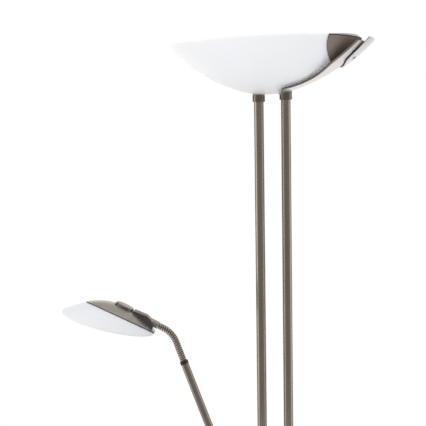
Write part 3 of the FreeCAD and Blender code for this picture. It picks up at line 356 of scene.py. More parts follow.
def material(
    name, dark, light, roughness, stretch, depth, strength, lean=0.0, detail=3.0, clouds=0.0, **shader
):
    """Principled material whose colour, roughness and bump come from one grain, under slow clouds if any."""
    made = bpy.data.materials.new(name)
    made.use_nodes = True
    tree = made.node_tree
    skin = tree.nodes["Principled BSDF"]
    for label, value in shader.items():
        skin.inputs[label.replace("_", " ")].default_value = value
    texture = place_group(
        tree, grain, Stretch=stretch, Lean=lean, Detail=detail, Depth=depth, Strength=strength
    )
    colour = place_group(tree, two_tones, Dark=dark, Light=light)
    rough = place_group(tree, value_range, From=roughness[0], To=roughness[1])
    wire(
        tree,
        (texture, "Mask", colour, "Mask"),
        (texture, "Mask", rough, "Mask"),
        (colour, "Color", skin, "Base Color"),
        (rough, "Value", skin, "Roughness"),
        (texture, "Normal", skin, "Normal"),
    )
    if clouds:
        cloud = place_group(tree, grain, Stretch=(22, 22, 9), Strength=0.0)
        blend = add(tree, "ShaderNodeMix", Factor=clouds)
        wire(
            tree,
            (texture, "Mask", blend, "A"),
            (cloud, "Mask", blend, "B"),
            (blend, "Result", colour, "Mask"),
        )
    return made


def dress(node, finish, edge=0.0, slope=35):
    """Gives a CAD node its material, and softens its edges by that many metres."""
    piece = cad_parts[node]
    for place in piece.material_slots:
        place.material = finish
    if edge:
        bevel = piece.modifiers.new("soft edges", "BEVEL")
        bevel.width = edge
        bevel.segments = 2
        bevel.limit_method = "ANGLE"
        bevel.angle_limit = math.radians(slope)
        bevel.harden_normals = True
        bevel.use_clamp_overlap = True


felt = material(
    "felt", tone(18, 18, 19), tone(46, 45, 46), (0.9, 1.0), (900, 900, 900), 0.0006, 0.8,
    detail=5.0, Sheen_Weight=0.5, Sheen_Roughness=0.6, Specular_IOR_Level=0.2,
)
dress("base_pad", felt)

# ---------------------------------------------------------------- weight
# A cast iron disc that keeps the lamp upright, left as it came from the sand and painted black.
# Two pads carry the poles, and pockets below take the nuts.

cast_iron = material(
    "cast iron", tone(30, 29, 28), tone(58, 56, 54), (0.55, 0.8), (260, 260, 260), 0.0008, 0.5,
    detail=6.0, Metallic=0.6,
)
cast_edge = 0.0006
dress("base_weight", cast_iron, cast_edge)

# ---------------------------------------------------------------- base cover
# Spun steel, with a rounded shoulder, a low crown and a flat middle, plated in antique nickel.
# The spinning leaves very fine rings.


def soften(outline, radius, bites=4):
    """Rounds every corner of a closed outline of (radius, height) points."""
    result = []
    count = len(outline)
    for k, corner in enumerate(outline):
        here = Vector(corner)
        before = Vector(outline[k - 1])
        after = Vector(outline[(k + 1) % count])
        if corner[0] < 1e-9:
            result.append(here)
            continue
        back = (before - here).normalized() * min(radius, (before - here).length * 0.45)
        on = (after - here).normalized() * min(radius, (after - here).length * 0.45)
        for step in range(bites + 1):
            t = step / bites
            result.append(here + back * (1 - t) ** 2 + on * t ** 2)
    return result


def new_piece(name, shape, finish, slot, body, *nodes, smooth=40):
    """Makes an object of a bmesh: shaded, with its material, riding on its body in place of its nodes."""
    bmesh.ops.remove_doubles(shape, verts=shape.verts, dist=1e-7)
    bmesh.ops.recalc_face_normals(shape, faces=shape.faces)
    mesh = bpy.data.meshes.new(name)
    shape.to_mesh(mesh)
    shape.free()
    for one in finish if isinstance(finish, tuple) else (finish,):
        mesh.materials.append(one)
    mesh.shade_smooth()
    mesh.set_sharp_from_angle(angle=math.radians(smooth))
    piece = bpy.data.objects.new(name, mesh)
    scene.collection.objects.link(piece)
    if nodes:
        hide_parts(*nodes)
    if body:
        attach(piece, body)
    return piece


def add_rings(shape, rings, closed=False):
    """Skins a list of rings of points, and joins the last to the first if closed."""
    made = [[shape.verts.new(p) for p in ring] for ring in rings]
    count = len(made[0])
    pairs = zip(made, made[1:] + (made[:1] if closed else []))
    for low, high in pairs:
        for k in range(count):
            n = (k + 1) % count
            shape.faces.new((low[k], low[n], high[n], high[k]))
    return made


def axis_frame(spot, direction):
    """Matrix that takes the Z axis to a line through spot."""
    turn = Vector(direction).to_track_quat("Z", "Y").to_matrix().to_4x4()
    return Matrix.Translation(spot) @ turn


UP = Vector((0, 0, 1))


def lathe(shape, outline, spot=(0, 0, 0), direction=UP, steps=64):
    """Adds a closed outline of (radius, height) points turned about a line."""
    place = axis_frame(spot, direction)
    columns = []
    for k in range(steps):
        a = 2 * math.pi * k / steps
        columns.append([place @ Vector((p[0] * math.cos(a), p[0] * math.sin(a), p[1])) for p in outline])
    add_rings(shape, columns, closed=True)
    return shape


def arc(centre, radius, start, end, steps):
    """Points of an arc in (radius, height), by angle from straight down, outwards."""
    points = []
    for k in range(steps + 1):
        a = start + (end - start) * k / steps
        points.append((centre[0] + radius * math.sin(a), centre[1] - radius * math.cos(a)))
    return points


def nickel(name, dark, light, roughness, stretch, lean=0.0, strength=0.18, metallic=1.0):
    """Antique nickel: plated, darkened, brushed and lacquered."""
    return material(
        name, dark, light, roughness, stretch, 0.00006, strength, lean, detail=4.0, clouds=0.45,
        Metallic=metallic, Coat_Weight=0.12, Coat_Roughness=0.25,
    )


cover_nickel = nickel(
    "antique nickel, spun", tone(192, 184, 176), tone(218, 210, 203), (0.26, 0.38), (60, 60, 900)
)
cover_top = 0.028


def cover_outline():
    """Half section of the cover: down the outside, and back up inside."""
    radius, height, wall = 0.14, cover_top, 0.0012
    skirt_low, shoulder_high, shoulder_r, flat = 0.0025, 0.024, 0.008, 0.046
    rise = height - shoulder_high
    run = radius - shoulder_r - flat
    crown_r = (run * run + rise * rise) / (2 * rise)
    crown_angle = math.asin(run / crown_r)
    sides = []
    for off in (0, wall):
        skirt = [(radius - off, skirt_low)]
        shoulder = (radius - shoulder_r, shoulder_high - shoulder_r)
        bend = arc(shoulder, shoulder_r - off, math.pi / 2, math.pi, 8)
        crown = arc((flat, height - crown_r), crown_r - off, math.pi - crown_angle, math.pi, 14)
        sides.append(skirt + bend + crown[1:] + [(0.0, height - off)])
    return sides[0] + sides[1][::-1]


cover = lathe(bmesh.new(), cover_outline(), steps=160)
new_piece("spun_cover", cover, cover_nickel, "nickel_cover", "stand", "base_cover")

# ---------------------------------------------------------------- pole fixings in the base
# Zinc-plated studs, washers and nuts that pull the poles down on the weight, seen only from below.

zinc = material(
    "zinc plate", tone(150, 152, 156), tone(196, 196, 192), (0.28, 0.42), (180, 180, 180), 0.0001, 0.2,
    Metallic=1.0,
)
small_edge = 0.0002
for hidden in ("base_studs", "base_washers", "base_nuts"):
    dress(hidden, zinc, small_edge)

# ---------------------------------------------------------------- collars on the base
# Turned steel rings that hide the joint between pole and cover, plated like the poles.

half_gap = 0.022
pole_r = 0.008
fit_gap = 0.00002
fitting_nickel = nickel(
    "antique nickel, turned", tone(142, 131, 123), tone(178, 168, 159), (0.24, 0.36), (90, 90, 1200)
)


def ring_outline(inner, outer, low, high):
    """Half section of a plain ring."""
    return [(inner, low), (outer, low), (outer, high), (inner, high)]


collars = bmesh.new()
collar_r, collar_h, collar_round = 0.013, 0.014, 0.0014
for x in (-half_gap, half_gap):
    ring = ring_outline(pole_r + fit_gap, collar_r, cover_top, cover_top + collar_h)
    lathe(collars, soften(ring, collar_round), (x, 0, 0))
new_piece("base_collar_rings", collars, fitting_nickel, "nickel_fitting", "stand", "base_collars")

# ---------------------------------------------------------------- cord inlet
# A black rubber bush pushed into the back of the cover's skirt. The cord itself isn't part of this model.

black_rubber = material(
    "black rubber", tone(20, 20, 20), tone(38, 38, 38), (0.6, 0.8), (700, 700, 700), 0.0002, 0.4,
)
moulded_edge = 0.0003
dress("cord_inlet", black_rubber, moulded_edge)

# ---------------------------------------------------------------- poles
# Two steel tubes side by side, each in three lengths that screw together over a joiner with a thin shoulder.
# Brushed along their length, darkened and lacquered.

pole_wall = 0.00125
pole_joints = (0.59, 1.15)
shoulder = 0.002
left_pole_drop = 0.003
drawn_dark, drawn_light = tone(194, 182, 167), tone(220, 209, 196)
drawn_roughness, drawn_grain = (0.15, 0.23), (1500, 1500, 14)
pole_nickel = nickel("antique nickel, drawn", drawn_dark, drawn_light, drawn_roughness, drawn_grain)


def tube(shape, radius, wall, spot, direction, length, edge=0.0003, steps=64):
    """Open tube from spot along direction."""
    lathe(shape, soften(ring_outline(radius - wall, radius, 0, length), edge, 3), spot, direction, steps)


for section in ("lower", "middle", "upper"):
    low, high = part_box("poles_" + section)
    tubes = bmesh.new()
    for x in (-half_gap, half_gap):
        top = high.z - left_pole_drop if section == "upper" and x < 0 else high.z
        tube(tubes, pole_r, pole_wall, (x, 0, low.z), UP, top - low.z)
    new_piece("pole_tubes_" + section, tubes, pole_nickel, "nickel_pole", "stand", "poles_" + section)

joiners = bmesh.new()
bore, nipple, reach = 0.004, pole_r - pole_wall - fit_gap, 0.022
for x in (-half_gap, half_gap):
    for z in pole_joints:
        outline = [
            (bore, -reach), (nipple, -reach), (nipple, -shoulder / 2), (pole_r, -shoulder / 2),
            (pole_r, shoulder / 2), (nipple, shoulder / 2), (nipple, reach), (bore, reach),
        ]
        lathe(joiners, soften(outline, 0.0003, 2), (x, 0, z))
new_piece("joiner_nipples", joiners, fitting_nickel, "nickel_fitting", "stand", "pole_joiners")
dress("pole_plugs", zinc, small_edge)

# ---------------------------------------------------------------- dimmer housing
# Two moulded shells that clip round both poles, held by screws from the back.
# Inside sit the board and the two potentiometers.

moulded = material(
    "moulded housing", tone(52, 49, 46), tone(66, 63, 60), (0.48, 0.6), (1600, 1600, 1600), 0.00008, 0.5,
    detail=2.0,
)
dress("dimmer_housing_front", moulded, moulded_edge)
dress("dimmer_housing_back", moulded, moulded_edge)
dress("dimmer_screws", zinc, small_edge)
board = material(
    "board laminate", tone(24, 66, 36), tone(40, 92, 52), (0.35, 0.5), (500, 500, 500), 0.0001, 0.2,
)
dress("dimmer_board", board)
bright_steel = material(
    "bright steel", tone(140, 140, 140), tone(182, 182, 184), (0.25, 0.35), (300, 300, 300), 0.0001, 0.2,
    Metallic=1.0,
)
dress("dimmer_pots", bright_steel, small_edge)

# ---------------------------------------------------------------- dimmer knobs
# Moulded knobs with fluted sides, a dished face and a raised pointer, pushed on the spindles of the
# potentiometers: left for the bowl, right for the reading head.

knob_plastic = material(
    "knob plastic", tone(30, 28, 27), tone(44, 42, 40), (0.38, 0.5), (1800, 1800, 1800), 0.00006, 0.5,
    detail=2.0,
)
dress("uplight_dimmer_knob", knob_plastic, moulded_edge)
dress("reading_dimmer_knob", knob_plastic, moulded_edge)

# ---------------------------------------------------------------- swivel and arm foot
# Die-cast collar on the left pole between two stop rings, and the fork that the arm tube stands in.
# A screw with a lobed knob clamps the fork on the collar's tongue through two friction washers.

turned_edge = 0.0004
for cast in ("arm_collar", "stop_rings", "arm_foot", "pivot_screw"):
    dress(cast, fitting_nickel, turned_edge)
dress("stop_ring_screws", zinc, small_edge)
friction_plastic = material(
    "friction plastic", tone(58, 58, 58), tone(76, 76, 76), (0.5, 0.6), (600, 600, 600), 0.0001, 0.2,
)
dress("friction_washers", friction_plastic)
dress("clamp_knob", knob_plastic, turned_edge)

# ---------------------------------------------------------------- arm tube and ferrule
# A slim steel tube, brushed and plated like the poles, with a turned ring at its top where the neck starts.

arm_lean = math.radians(20.3)
arm_way = Vector((-math.sin(arm_lean), 0, math.cos(arm_lean)))
pivot = Vector((-0.048, 0, 1.001))
arm_length = 0.297
arm_r = 0.0065
arm_wall = 0.0012
arm_start = 0.0175
arm_top = pivot + arm_way * arm_length
arm_nickel = nickel(
    "antique nickel, arm", drawn_dark, drawn_light, drawn_roughness, drawn_grain, lean=-arm_lean
)

arm_tube = bmesh.new()
tube(arm_tube, arm_r, arm_wall, pivot + arm_way * arm_start, arm_way, arm_length - arm_start)
new_piece("arm_rod", arm_tube, arm_nickel, "nickel_pole", "arm", "arm_tube")

ferrule_r, ferrule_below, ferrule_above = 0.007, 0.004, 0.001
neck_crest = 0.0056
ferrule = bmesh.new()
over_arm = arm_r + fit_gap
round_neck = neck_crest + fit_gap
outline = [
    (over_arm, -ferrule_below), (ferrule_r, -ferrule_below), (ferrule_r, ferrule_above),
    (round_neck, ferrule_above), (round_neck, fit_gap), (over_arm, fit_gap),
]
lathe(ferrule, soften(outline, turned_edge, 3), arm_top, arm_way)
dark_nickel = nickel(
    "antique nickel, dark", tone(84, 76, 70), tone(118, 109, 101), (0.3, 0.42), (300, 300, 300)
)
new_piece("neck_ring", ferrule, dark_nickel, "nickel_fitting", "arm", "arm_ferrule")

# ---------------------------------------------------------------- gooseneck
# A flexible neck wound from round and three-sided wire and plated. Its ribs run round it as one long screw,
# bright on their crests and painted dark in the grooves as shade.

BACK = Vector((0, 1, 0))
neck_straight = 0.035
neck_bend_r = 0.044
neck_end_straight = 0.009
neck_end_slope = math.radians(28)
neck_ribs = 21
neck_root = 0.0042
neck_bore = 0.0026
groove_share = 0.36
neck_turn = math.pi / 2 - arm_lean - neck_end_slope
neck_arc = neck_bend_r * neck_turn
neck_length = neck_straight + neck_arc + neck_end_straight
bend_start = arm_top + arm_way * neck_straight
bend_centre = bend_start + Vector((-arm_way.z, 0, arm_way.x)) * neck_bend_r


def along_neck(s):
    """Point and direction of the neck's centre line at distance s from the arm."""
    if s <= neck_straight:
        return arm_top + arm_way * s, arm_way
    angle = min(s - neck_straight, neck_arc) / neck_bend_r
    turn = Matrix.Rotation(-angle, 3, "Y")
    way = turn @ arm_way
    spot = bend_centre + turn @ (bend_start - bend_centre)
    return spot + way * max(0.0, s - neck_straight - neck_arc), way


def neck_ring(s, radii):
    """Ring round the centre line at distance s, with a radius for each of its points."""
    spot, way = along_neck(s)
    side = BACK.cross(way)
    ring = []
    for j, r in enumerate(radii):
        a = 2 * math.pi * j / len(radii)
        ring.append(spot + (side * math.cos(a) + BACK * math.sin(a)) * r)
    return ring


def neck_shape():
    """The neck's outside as rings whose radius follows a screw line, and its bore; grooves have finish 1,
    painted shade.
    """
    per_rib, around, bore_steps = 10, 40, 24
    end_height, crest_sharpness = 0.3, 0.8
    pitch = neck_length / neck_ribs
    steps = neck_ribs * per_rib
    rings = []
    for k in range(steps + 1):
        s = neck_length * k / steps
        fade = min(1.0, min(s, neck_length - s) / pitch)
        radii = []
        for j in range(around):
            phase = (s / pitch - j / around) % 1.0
            bulge = math.sqrt(max(0.0, 1 - (2 * phase - 1) ** 2)) ** crest_sharpness
            radii.append(neck_root + (neck_crest - neck_root) * (bulge * fade + end_height * (1 - fade)))
        rings.append(neck_ring(s, radii))
    for k in range(bore_steps, -1, -1):
        rings.append(neck_ring(neck_length * k / bore_steps, [neck_bore] * around))
    shape = bmesh.new()
    add_rings(shape, rings, closed=True)
    shape.faces.ensure_lookup_table()
    for k in range(steps):
        for j in range(around):
            phase = ((k + 0.5) / per_rib - (j + 0.5) / around) % 1.0
            if abs(phase - 0.5) > (1 - groove_share) / 2:
                shape.faces[k * around + j].material_index = 1
    return shape


neck_metal = material(
    "neck wire", tone(196, 184, 170), tone(232, 222, 210), (0.14, 0.22), (420, 420, 420), 0.00005, 0.15,
    Metallic=1.0,
)
# Painted shade: a dark copy of the wire for the faces in the grooves, where shade falls.
neck_groove_painted_shade = material(
    "neck wire, painted shade in the grooves", tone(44, 36, 32), tone(76, 66, 58), (0.35, 0.5), (420, 420, 420),
    0.00005, 0.15, Metallic=1.0,
)
neck_finish = (neck_metal, neck_groove_painted_shade)
neck_end, _ = along_neck(neck_length)
hose = new_piece("neck_hose", neck_shape(), neck_finish, "neck_metal", None, "gooseneck", smooth=60)
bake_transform(hose)

# ---------------------------------------------------------------- glass of the reading head
# A small pressed dish of white opal glass, satin outside, that hangs upside down over the capsule lamp.
# Its lip is rounded.

head_tilt = math.radians(14.9)
connector_end = Vector((0.082, 0, 0.012))
tilt = Matrix.Rotation(head_tilt, 4, "Y")
head_place = Matrix.Translation(neck_end - (tilt @ connector_end)) @ tilt


class Dish:
    """Dish with a crown arc and a flank arc that meet at one tangent; its rim's centre is the origin."""

    def __init__(self, rim_r, depth, crown_r, crown_deg):
        self.depth = depth
        self.crown_r = crown_r
        self.a = math.radians(crown_deg)
        x1 = crown_r * math.sin(self.a)
        z1 = -depth + crown_r * (1 - math.cos(self.a))
        dx, dz = rim_r - x1, -z1
        self.flank_r = (dx * dx + dz * dz) / (2 * (dz * math.cos(self.a) - dx * math.sin(self.a)))
        self.centre = (x1 - self.flank_r * math.sin(self.a), z1 + self.flank_r * math.cos(self.a))
        self.b = math.atan2(rim_r - self.centre[0], self.centre[1])

    def section(self, off, crown_steps=12, flank_steps=24):
        """Points of one face from the axis to the rim, off outside the glass."""
        crown = arc((0, self.crown_r - self.depth), self.crown_r + off, 0, self.a, crown_steps)
        flank = arc(self.centre, self.flank_r + off, self.a, self.b, flank_steps)
        return crown + flank[1:]

    def shell(self, wall, lip_steps=8):
        """Closed outline of the glass with its round lip."""
        outside = self.section(0)
        inside = self.section(-wall)
        low, high = Vector(outside[-1]), Vector(inside[-1])
        middle = (low + high) / 2
        spoke = (low - high) / 2
        along = Vector((math.cos(self.b), math.sin(self.b)))
        lip = []
        for k in range(1, lip_steps):
            a = math.pi * k / lip_steps
            lip.append(tuple(middle + spoke * math.cos(a) + along * spoke.length * math.sin(a)))
        return outside + lip + inside[::-1]

    def surface(self, r, off=0.0):
        """Height of the face that lies off outside the glass, at radius r, and its outward normal."""
        if r <= (self.crown_r + off) * math.sin(self.a):
            z = self.crown_r - self.depth - math.sqrt((self.crown_r + off) ** 2 - r * r)
            return z, Vector((r, z - self.crown_r + self.depth)).normalized()
        z = self.centre[1] - math.sqrt((self.flank_r + off) ** 2 - (r - self.centre[0]) ** 2)
        return z, Vector((r - self.centre[0], z - self.centre[1])).normalized()


def opal(name, dark, light, through):
    """Opal glass: white flashed glass with a satin skin and a very faint unevenness."""
    return material(
        name, dark, light, (0.3, 0.38), (6, 6, 6), 0.0004, 0.02, detail=1.0,
        Specular_IOR_Level=0.3, Subsurface_Weight=through, Subsurface_Radius=(1.0, 1.0, 1.0),
        Subsurface_Scale=0.01,
    )


def moved(shape, place):
    """The same shape, taken to its place."""
    bmesh.ops.transform(shape, matrix=place, verts=shape.verts)
    return shape


over = Matrix.Rotation(math.pi, 4, "X")
head_dish = Dish(0.078, 0.029, 0.1, 18)
head_wall = 0.003
head_opal = opal("opal glass, head", tone(229, 231, 234), tone(234, 235, 238), 0.0)
glass = moved(lathe(bmesh.new(), head_dish.shell(head_wall), steps=144), head_place @ over)
new_piece("reading_glass", glass, head_opal, "opal_glass", "head", "head_glass", smooth=60)

# ---------------------------------------------------------------- leaf of the reading head
# A big spun steel leaf that hugs the glass dome, cut off straight along the front, brushed and plated.
# It ends in a point over the far end of the dish.


edge_share = 0.22


def sheet_shape(rows, normals, thickness, finish_at=None):
    """Closed sheet from a grid of points on its outer face, where finish_at says each face's finish.

    Its rounded edges have finish 1.
    """
    shape = bmesh.new()
    edge = thickness * edge_share
    layers = []
    for depth, inset in ((0.0, edge), (edge, 0.0), (thickness - edge, 0.0), (thickness, edge)):
        layer = []
        for i, row in enumerate(rows):
            line = []
            for j, p in enumerate(row):
                spot = p - normals[i][j] * depth
                if inset:
                    spot = spot + inward(rows, i, j) * inset
                line.append(shape.verts.new(spot))
            layer.append(line)
        layers.append(layer)
    tall, wide = len(rows), len(rows[0])
    for layer, finishes in ((layers[0], finish_at), (layers[-1], None)):
        for i in range(tall - 1):
            for j in range(wide - 1):
                corners = (layer[i][j], layer[i][j + 1], layer[i + 1][j + 1], layer[i + 1][j])
                make_face(shape, corners, finishes(i, j) if finishes else 0)
    border = [(0, j) for j in range(wide)] + [(i, wide - 1) for i in range(1, tall)]
    border += [(tall - 1, j) for j in range(wide - 2, -1, -1)] + [(i, 0) for i in range(tall - 2, 0, -1)]
    for low, up in zip(layers, layers[1:]):
        for (i, j), (m, n) in zip(border, border[1:] + border[:1]):
            make_face(shape, (low[i][j], low[m][n], up[m][n], up[i][j]), 1)
    for layer in layers[1:-1]:
        for i in range(1, tall - 1):
            for j in range(1, wide - 1):
                shape.verts.remove(layer[i][j])
    return shape


def inward(grid, i, j):
    """Unit step from a border point of a grid towards the sheet's middle, else nothing."""
    tall, wide = len(grid), len(grid[0])
    step = Vector((0, 0, 0))
    if i == 0 or i == tall - 1:
        step += grid[1 if i == 0 else tall - 2][j] - grid[i][j]
    if j == 0 or j == wide - 1:
        step += grid[i][1 if j == 0 else wide - 2] - grid[i][j]
    return step.normalized() if step.length > 1e-7 else Vector((0, 0, 0))


def make_face(shape, corners, finish=0):
    """Adds a face, leaving out corners that lie on each other."""
    kept = []
    for corner in corners:
        if all((corner.co - other.co).length > 1e-7 for other in kept):
            kept.append(corner)
    if len(kept) > 2:
        shape.faces.new(kept).material_index = finish


leaf_gap = 0.0006
leaf_sheet = 0.0012
head_cut = Vector((-0.0449, 0, 0.0225))
head_cut_slope = math.tan(math.radians(11.0))
head_cut_dip = math.tan(math.radians(11.6))


def bisect(low, high, test, steps=40):
    """Where test turns from true at low to false at high."""
    for _ in range(steps):
        middle = (low + high) / 2
        if test(middle):
            low = middle
        else:
            high = middle
    return low


def head_leaf_shape():
    """Grid of spokes from the crown out to the cut or the rim."""
    off = leaf_gap + leaf_sheet
    rim_r = head_dish.section(off)[-1][0]

    def kept(r, a):
        z = -head_dish.surface(r, off)[0]
        line = head_cut.z - head_cut_slope * (r * math.cos(a) - head_cut.x) - head_cut_dip * r * math.sin(a)
        return z > line

    def reach(a):
        return rim_r if kept(rim_r, a) else bisect(0.0, rim_r, lambda r: kept(r, a))

    def corner(inside, outside):
        return bisect(inside, outside, lambda a: kept(rim_r, a))

    first = corner(0.0, -math.pi * 0.6)
    last = corner(0.0, math.pi * 0.9)
    spokes = 72
    angles = [first + (last - first) * k / spokes for k in range(spokes + 1)]
    rest = 2 * math.pi - (last - first)
    angles += [last + rest * k / spokes for k in range(1, spokes)]
    rings = 26
    rows, normals = [], []
    for k in range(rings + 1):
        row, row_normals = [], []
        for a in angles:
            r = max(reach(a) * k / rings, 1e-5)
            z, normal = head_dish.surface(r, off)
            row.append(Vector((r * math.cos(a), -r * math.sin(a), z)))
            row_normals.append(Vector((normal.x * math.cos(a), -normal.x * math.sin(a), normal.y)))
        rows.append(row)
        normals.append(row_normals)
    return rows, normals


def polar_sheet(rows, normals, thickness):
    """Closed sheet from spokes that start at one point; half of its rounded edge, the cut, has finish 1."""
    shape = bmesh.new()
    edge = thickness * edge_share
    outer = rows[:-1] + [[p + (q - p).normalized() * edge for p, q in zip(rows[-1], rows[-2])]]
    rings = [list(row) for row in outer]
    rings.append([p - n * edge for p, n in zip(rows[-1], normals[-1])])
    rings.append([p - n * (thickness - edge) for p, n in zip(rows[-1], normals[-1])])
    for row, row_normals in zip(outer[::-1], normals[::-1]):
        rings.append([p - n * thickness for p, n in zip(row, row_normals)])
    around = len(add_rings(shape, rings)[0])
    shape.faces.ensure_lookup_table()
    for ring in range(len(rows) - 1, len(rows) + 2):
        for face in shape.faces[ring * around + around // 2:(ring + 1) * around]:
            face.material_index = 1
    bmesh.ops.remove_doubles(shape, verts=shape.verts, dist=3e-5)
    return shape


# Painted shade: dark nickel for the leaves' edges and the inner leaf's crease, where shade falls.
painted_shade_edges = nickel(
    "antique nickel, painted shade on edges", tone(40, 34, 30), tone(64, 56, 50), (0.42, 0.55), (700, 700, 700)
)
head_leaf_nickel = nickel(
    "antique nickel, head leaf", tone(196, 187, 179), tone(226, 218, 210), (0.3, 0.42), (1400, 30, 300),
    lean=head_tilt, strength=0.22,
)
# The straight cut along the front carries the painted shade on its edge.
leaf = moved(polar_sheet(*head_leaf_shape(), leaf_sheet), head_place @ over)
new_piece("reading_leaf", leaf, (head_leaf_nickel, painted_shade_edges), "nickel_leaf", "head", "head_leaf")

# ---------------------------------------------------------------- cap, bracket and connector of the head
# A die-cast wedge lies on the leaf and takes the neck; a round cap closes the hollow screw that holds
# leaf, glass and reflector together.

bracket_nickel = nickel(
    "antique nickel, cast", tone(122, 111, 102), tone(150, 139, 129), (0.4, 0.5), (400, 400, 400)
)
bracket_edge, connector_edge = 0.0005, 0.0003
dress("neck_bracket", bracket_nickel, bracket_edge)
dress("neck_connector", cover_nickel, connector_edge)
fix_x = 0.0195
fix_angle = math.asin(fix_x / head_dish.crown_r)
fix_way = Vector((math.sin(fix_angle), 0, math.cos(fix_angle)))
fix_spot = UP * (head_dish.depth - head_dish.crown_r) + fix_way * head_dish.crown_r


def cap_outline():
    """Half section of the cap: a low crown on a plain rim, hollow below."""
    r, low, top, wall, floor = 0.0155, 0.0008, 0.0057, 0.001, 0.0034
    crown_drop, shoulder_drop, rim_drop, shoulder_in, steps = 0.0006, 0.001, 0.0016, 0.0003, 8
    outline = [(r, low), (r, top - rim_drop), (r - shoulder_in, top - shoulder_drop)]
    for k in range(steps, -1, -1):
        t = k / steps
        outline.append(((r - crown_drop) * t, top - crown_drop * t ** 2))
    return outline + [(0.0, floor), (r - wall, floor), (r - wall, low)]


cap = moved(lathe(bmesh.new(), cap_outline(), fix_spot, fix_way, steps=96), head_place)
new_piece("round_cap", cap, fitting_nickel, "nickel_fitting", "head", "head_cap")

# ---------------------------------------------------------------- inside of the reading head
# Hollow screw, gasket and nut, a bright reflector sheet, a ceramic holder and a small capsule lamp.

silicone = material(
    "silicone", tone(196, 196, 192), tone(214, 214, 210), (0.5, 0.6), (300, 300, 300), 0.0001, 0.2,
)
bright_aluminium = material(
    "bright aluminium", tone(205, 206, 208), tone(232, 232, 233), (0.14, 0.26), (240, 240, 240), 0.0006, 0.35,
    detail=1.0, Metallic=1.0,
)
ceramic = material(
    "ceramic", tone(214, 209, 198), tone(232, 228, 218), (0.55, 0.7), (800, 800, 800), 0.0001, 0.3,
)
lamp_quartz = material(
    "quartz", tone(250, 250, 246), tone(255, 255, 252), (0.02, 0.05), (90, 90, 90), 0.0001, 0.05,
    Transmission_Weight=1.0, IOR=1.46,
)
dress("head_nipple", zinc, small_edge)
nut_edge, ceramic_edge = 0.0003, 0.0006
dress("head_nut", zinc, nut_edge)
dress("head_gasket", silicone)
dress("head_reflector", bright_aluminium)
dress("head_lampholder", ceramic, ceramic_edge)
dress("head_lamp", lamp_quartz)

# ---------------------------------------------------------------- bowl
# A large blown dish of white opal glass with a rounded lip, drilled for the two poles.
# It leans a little, metal leaves upwards.

bowl_lean = math.radians(1.0)
bowl_place = Matrix.Translation((-0.0112, 0, 1.8)) @ Matrix.Rotation(-bowl_lean, 4, "Y")
bowl_dish = Dish(0.1526, 0.0812, 0.1316, 16.7)
bowl_wall = 0.004
bowl_opal = opal("opal glass, bowl", tone(237, 239, 243), tone(242, 243, 247), 1.0)
glass = moved(lathe(bmesh.new(), bowl_dish.shell(bowl_wall), steps=224), bowl_place)
new_piece("uplight_bowl", glass, bowl_opal, "opal_glass", "stand", "bowl_glass", smooth=60)

# ---------------------------------------------------------------- leaves of the bowl
# Three pieces of spun sheet steel overlap at the right end: a short one that hugs the glass, a long one
# from the right pole up past it, and a small one held off its end by screws and spacers.

# Painted light: the leaves' nickel made near white, lighter than the metal is, as it mirrors the white floor
# and backdrop.
leaf_nickel_painted_light = nickel(
    "antique nickel, leaves, painted light", tone(236, 231, 229), tone(250, 247, 246), (0.3, 0.42), (260, 900, 260),
    strength=0.25,
)


def grid(columns, rows, point):
    """Points and normals of a grid; point takes two shares from 0 to 1."""
    spots, normals = [], []
    for i in range(rows + 1):
        pairs = [point(i / rows, j / columns) for j in range(columns + 1)]
        spots.append([p for p, n in pairs])
        normals.append([n for p, n in pairs])
    return spots, normals


inner_rows = 14
crease_row = inner_rows + 1


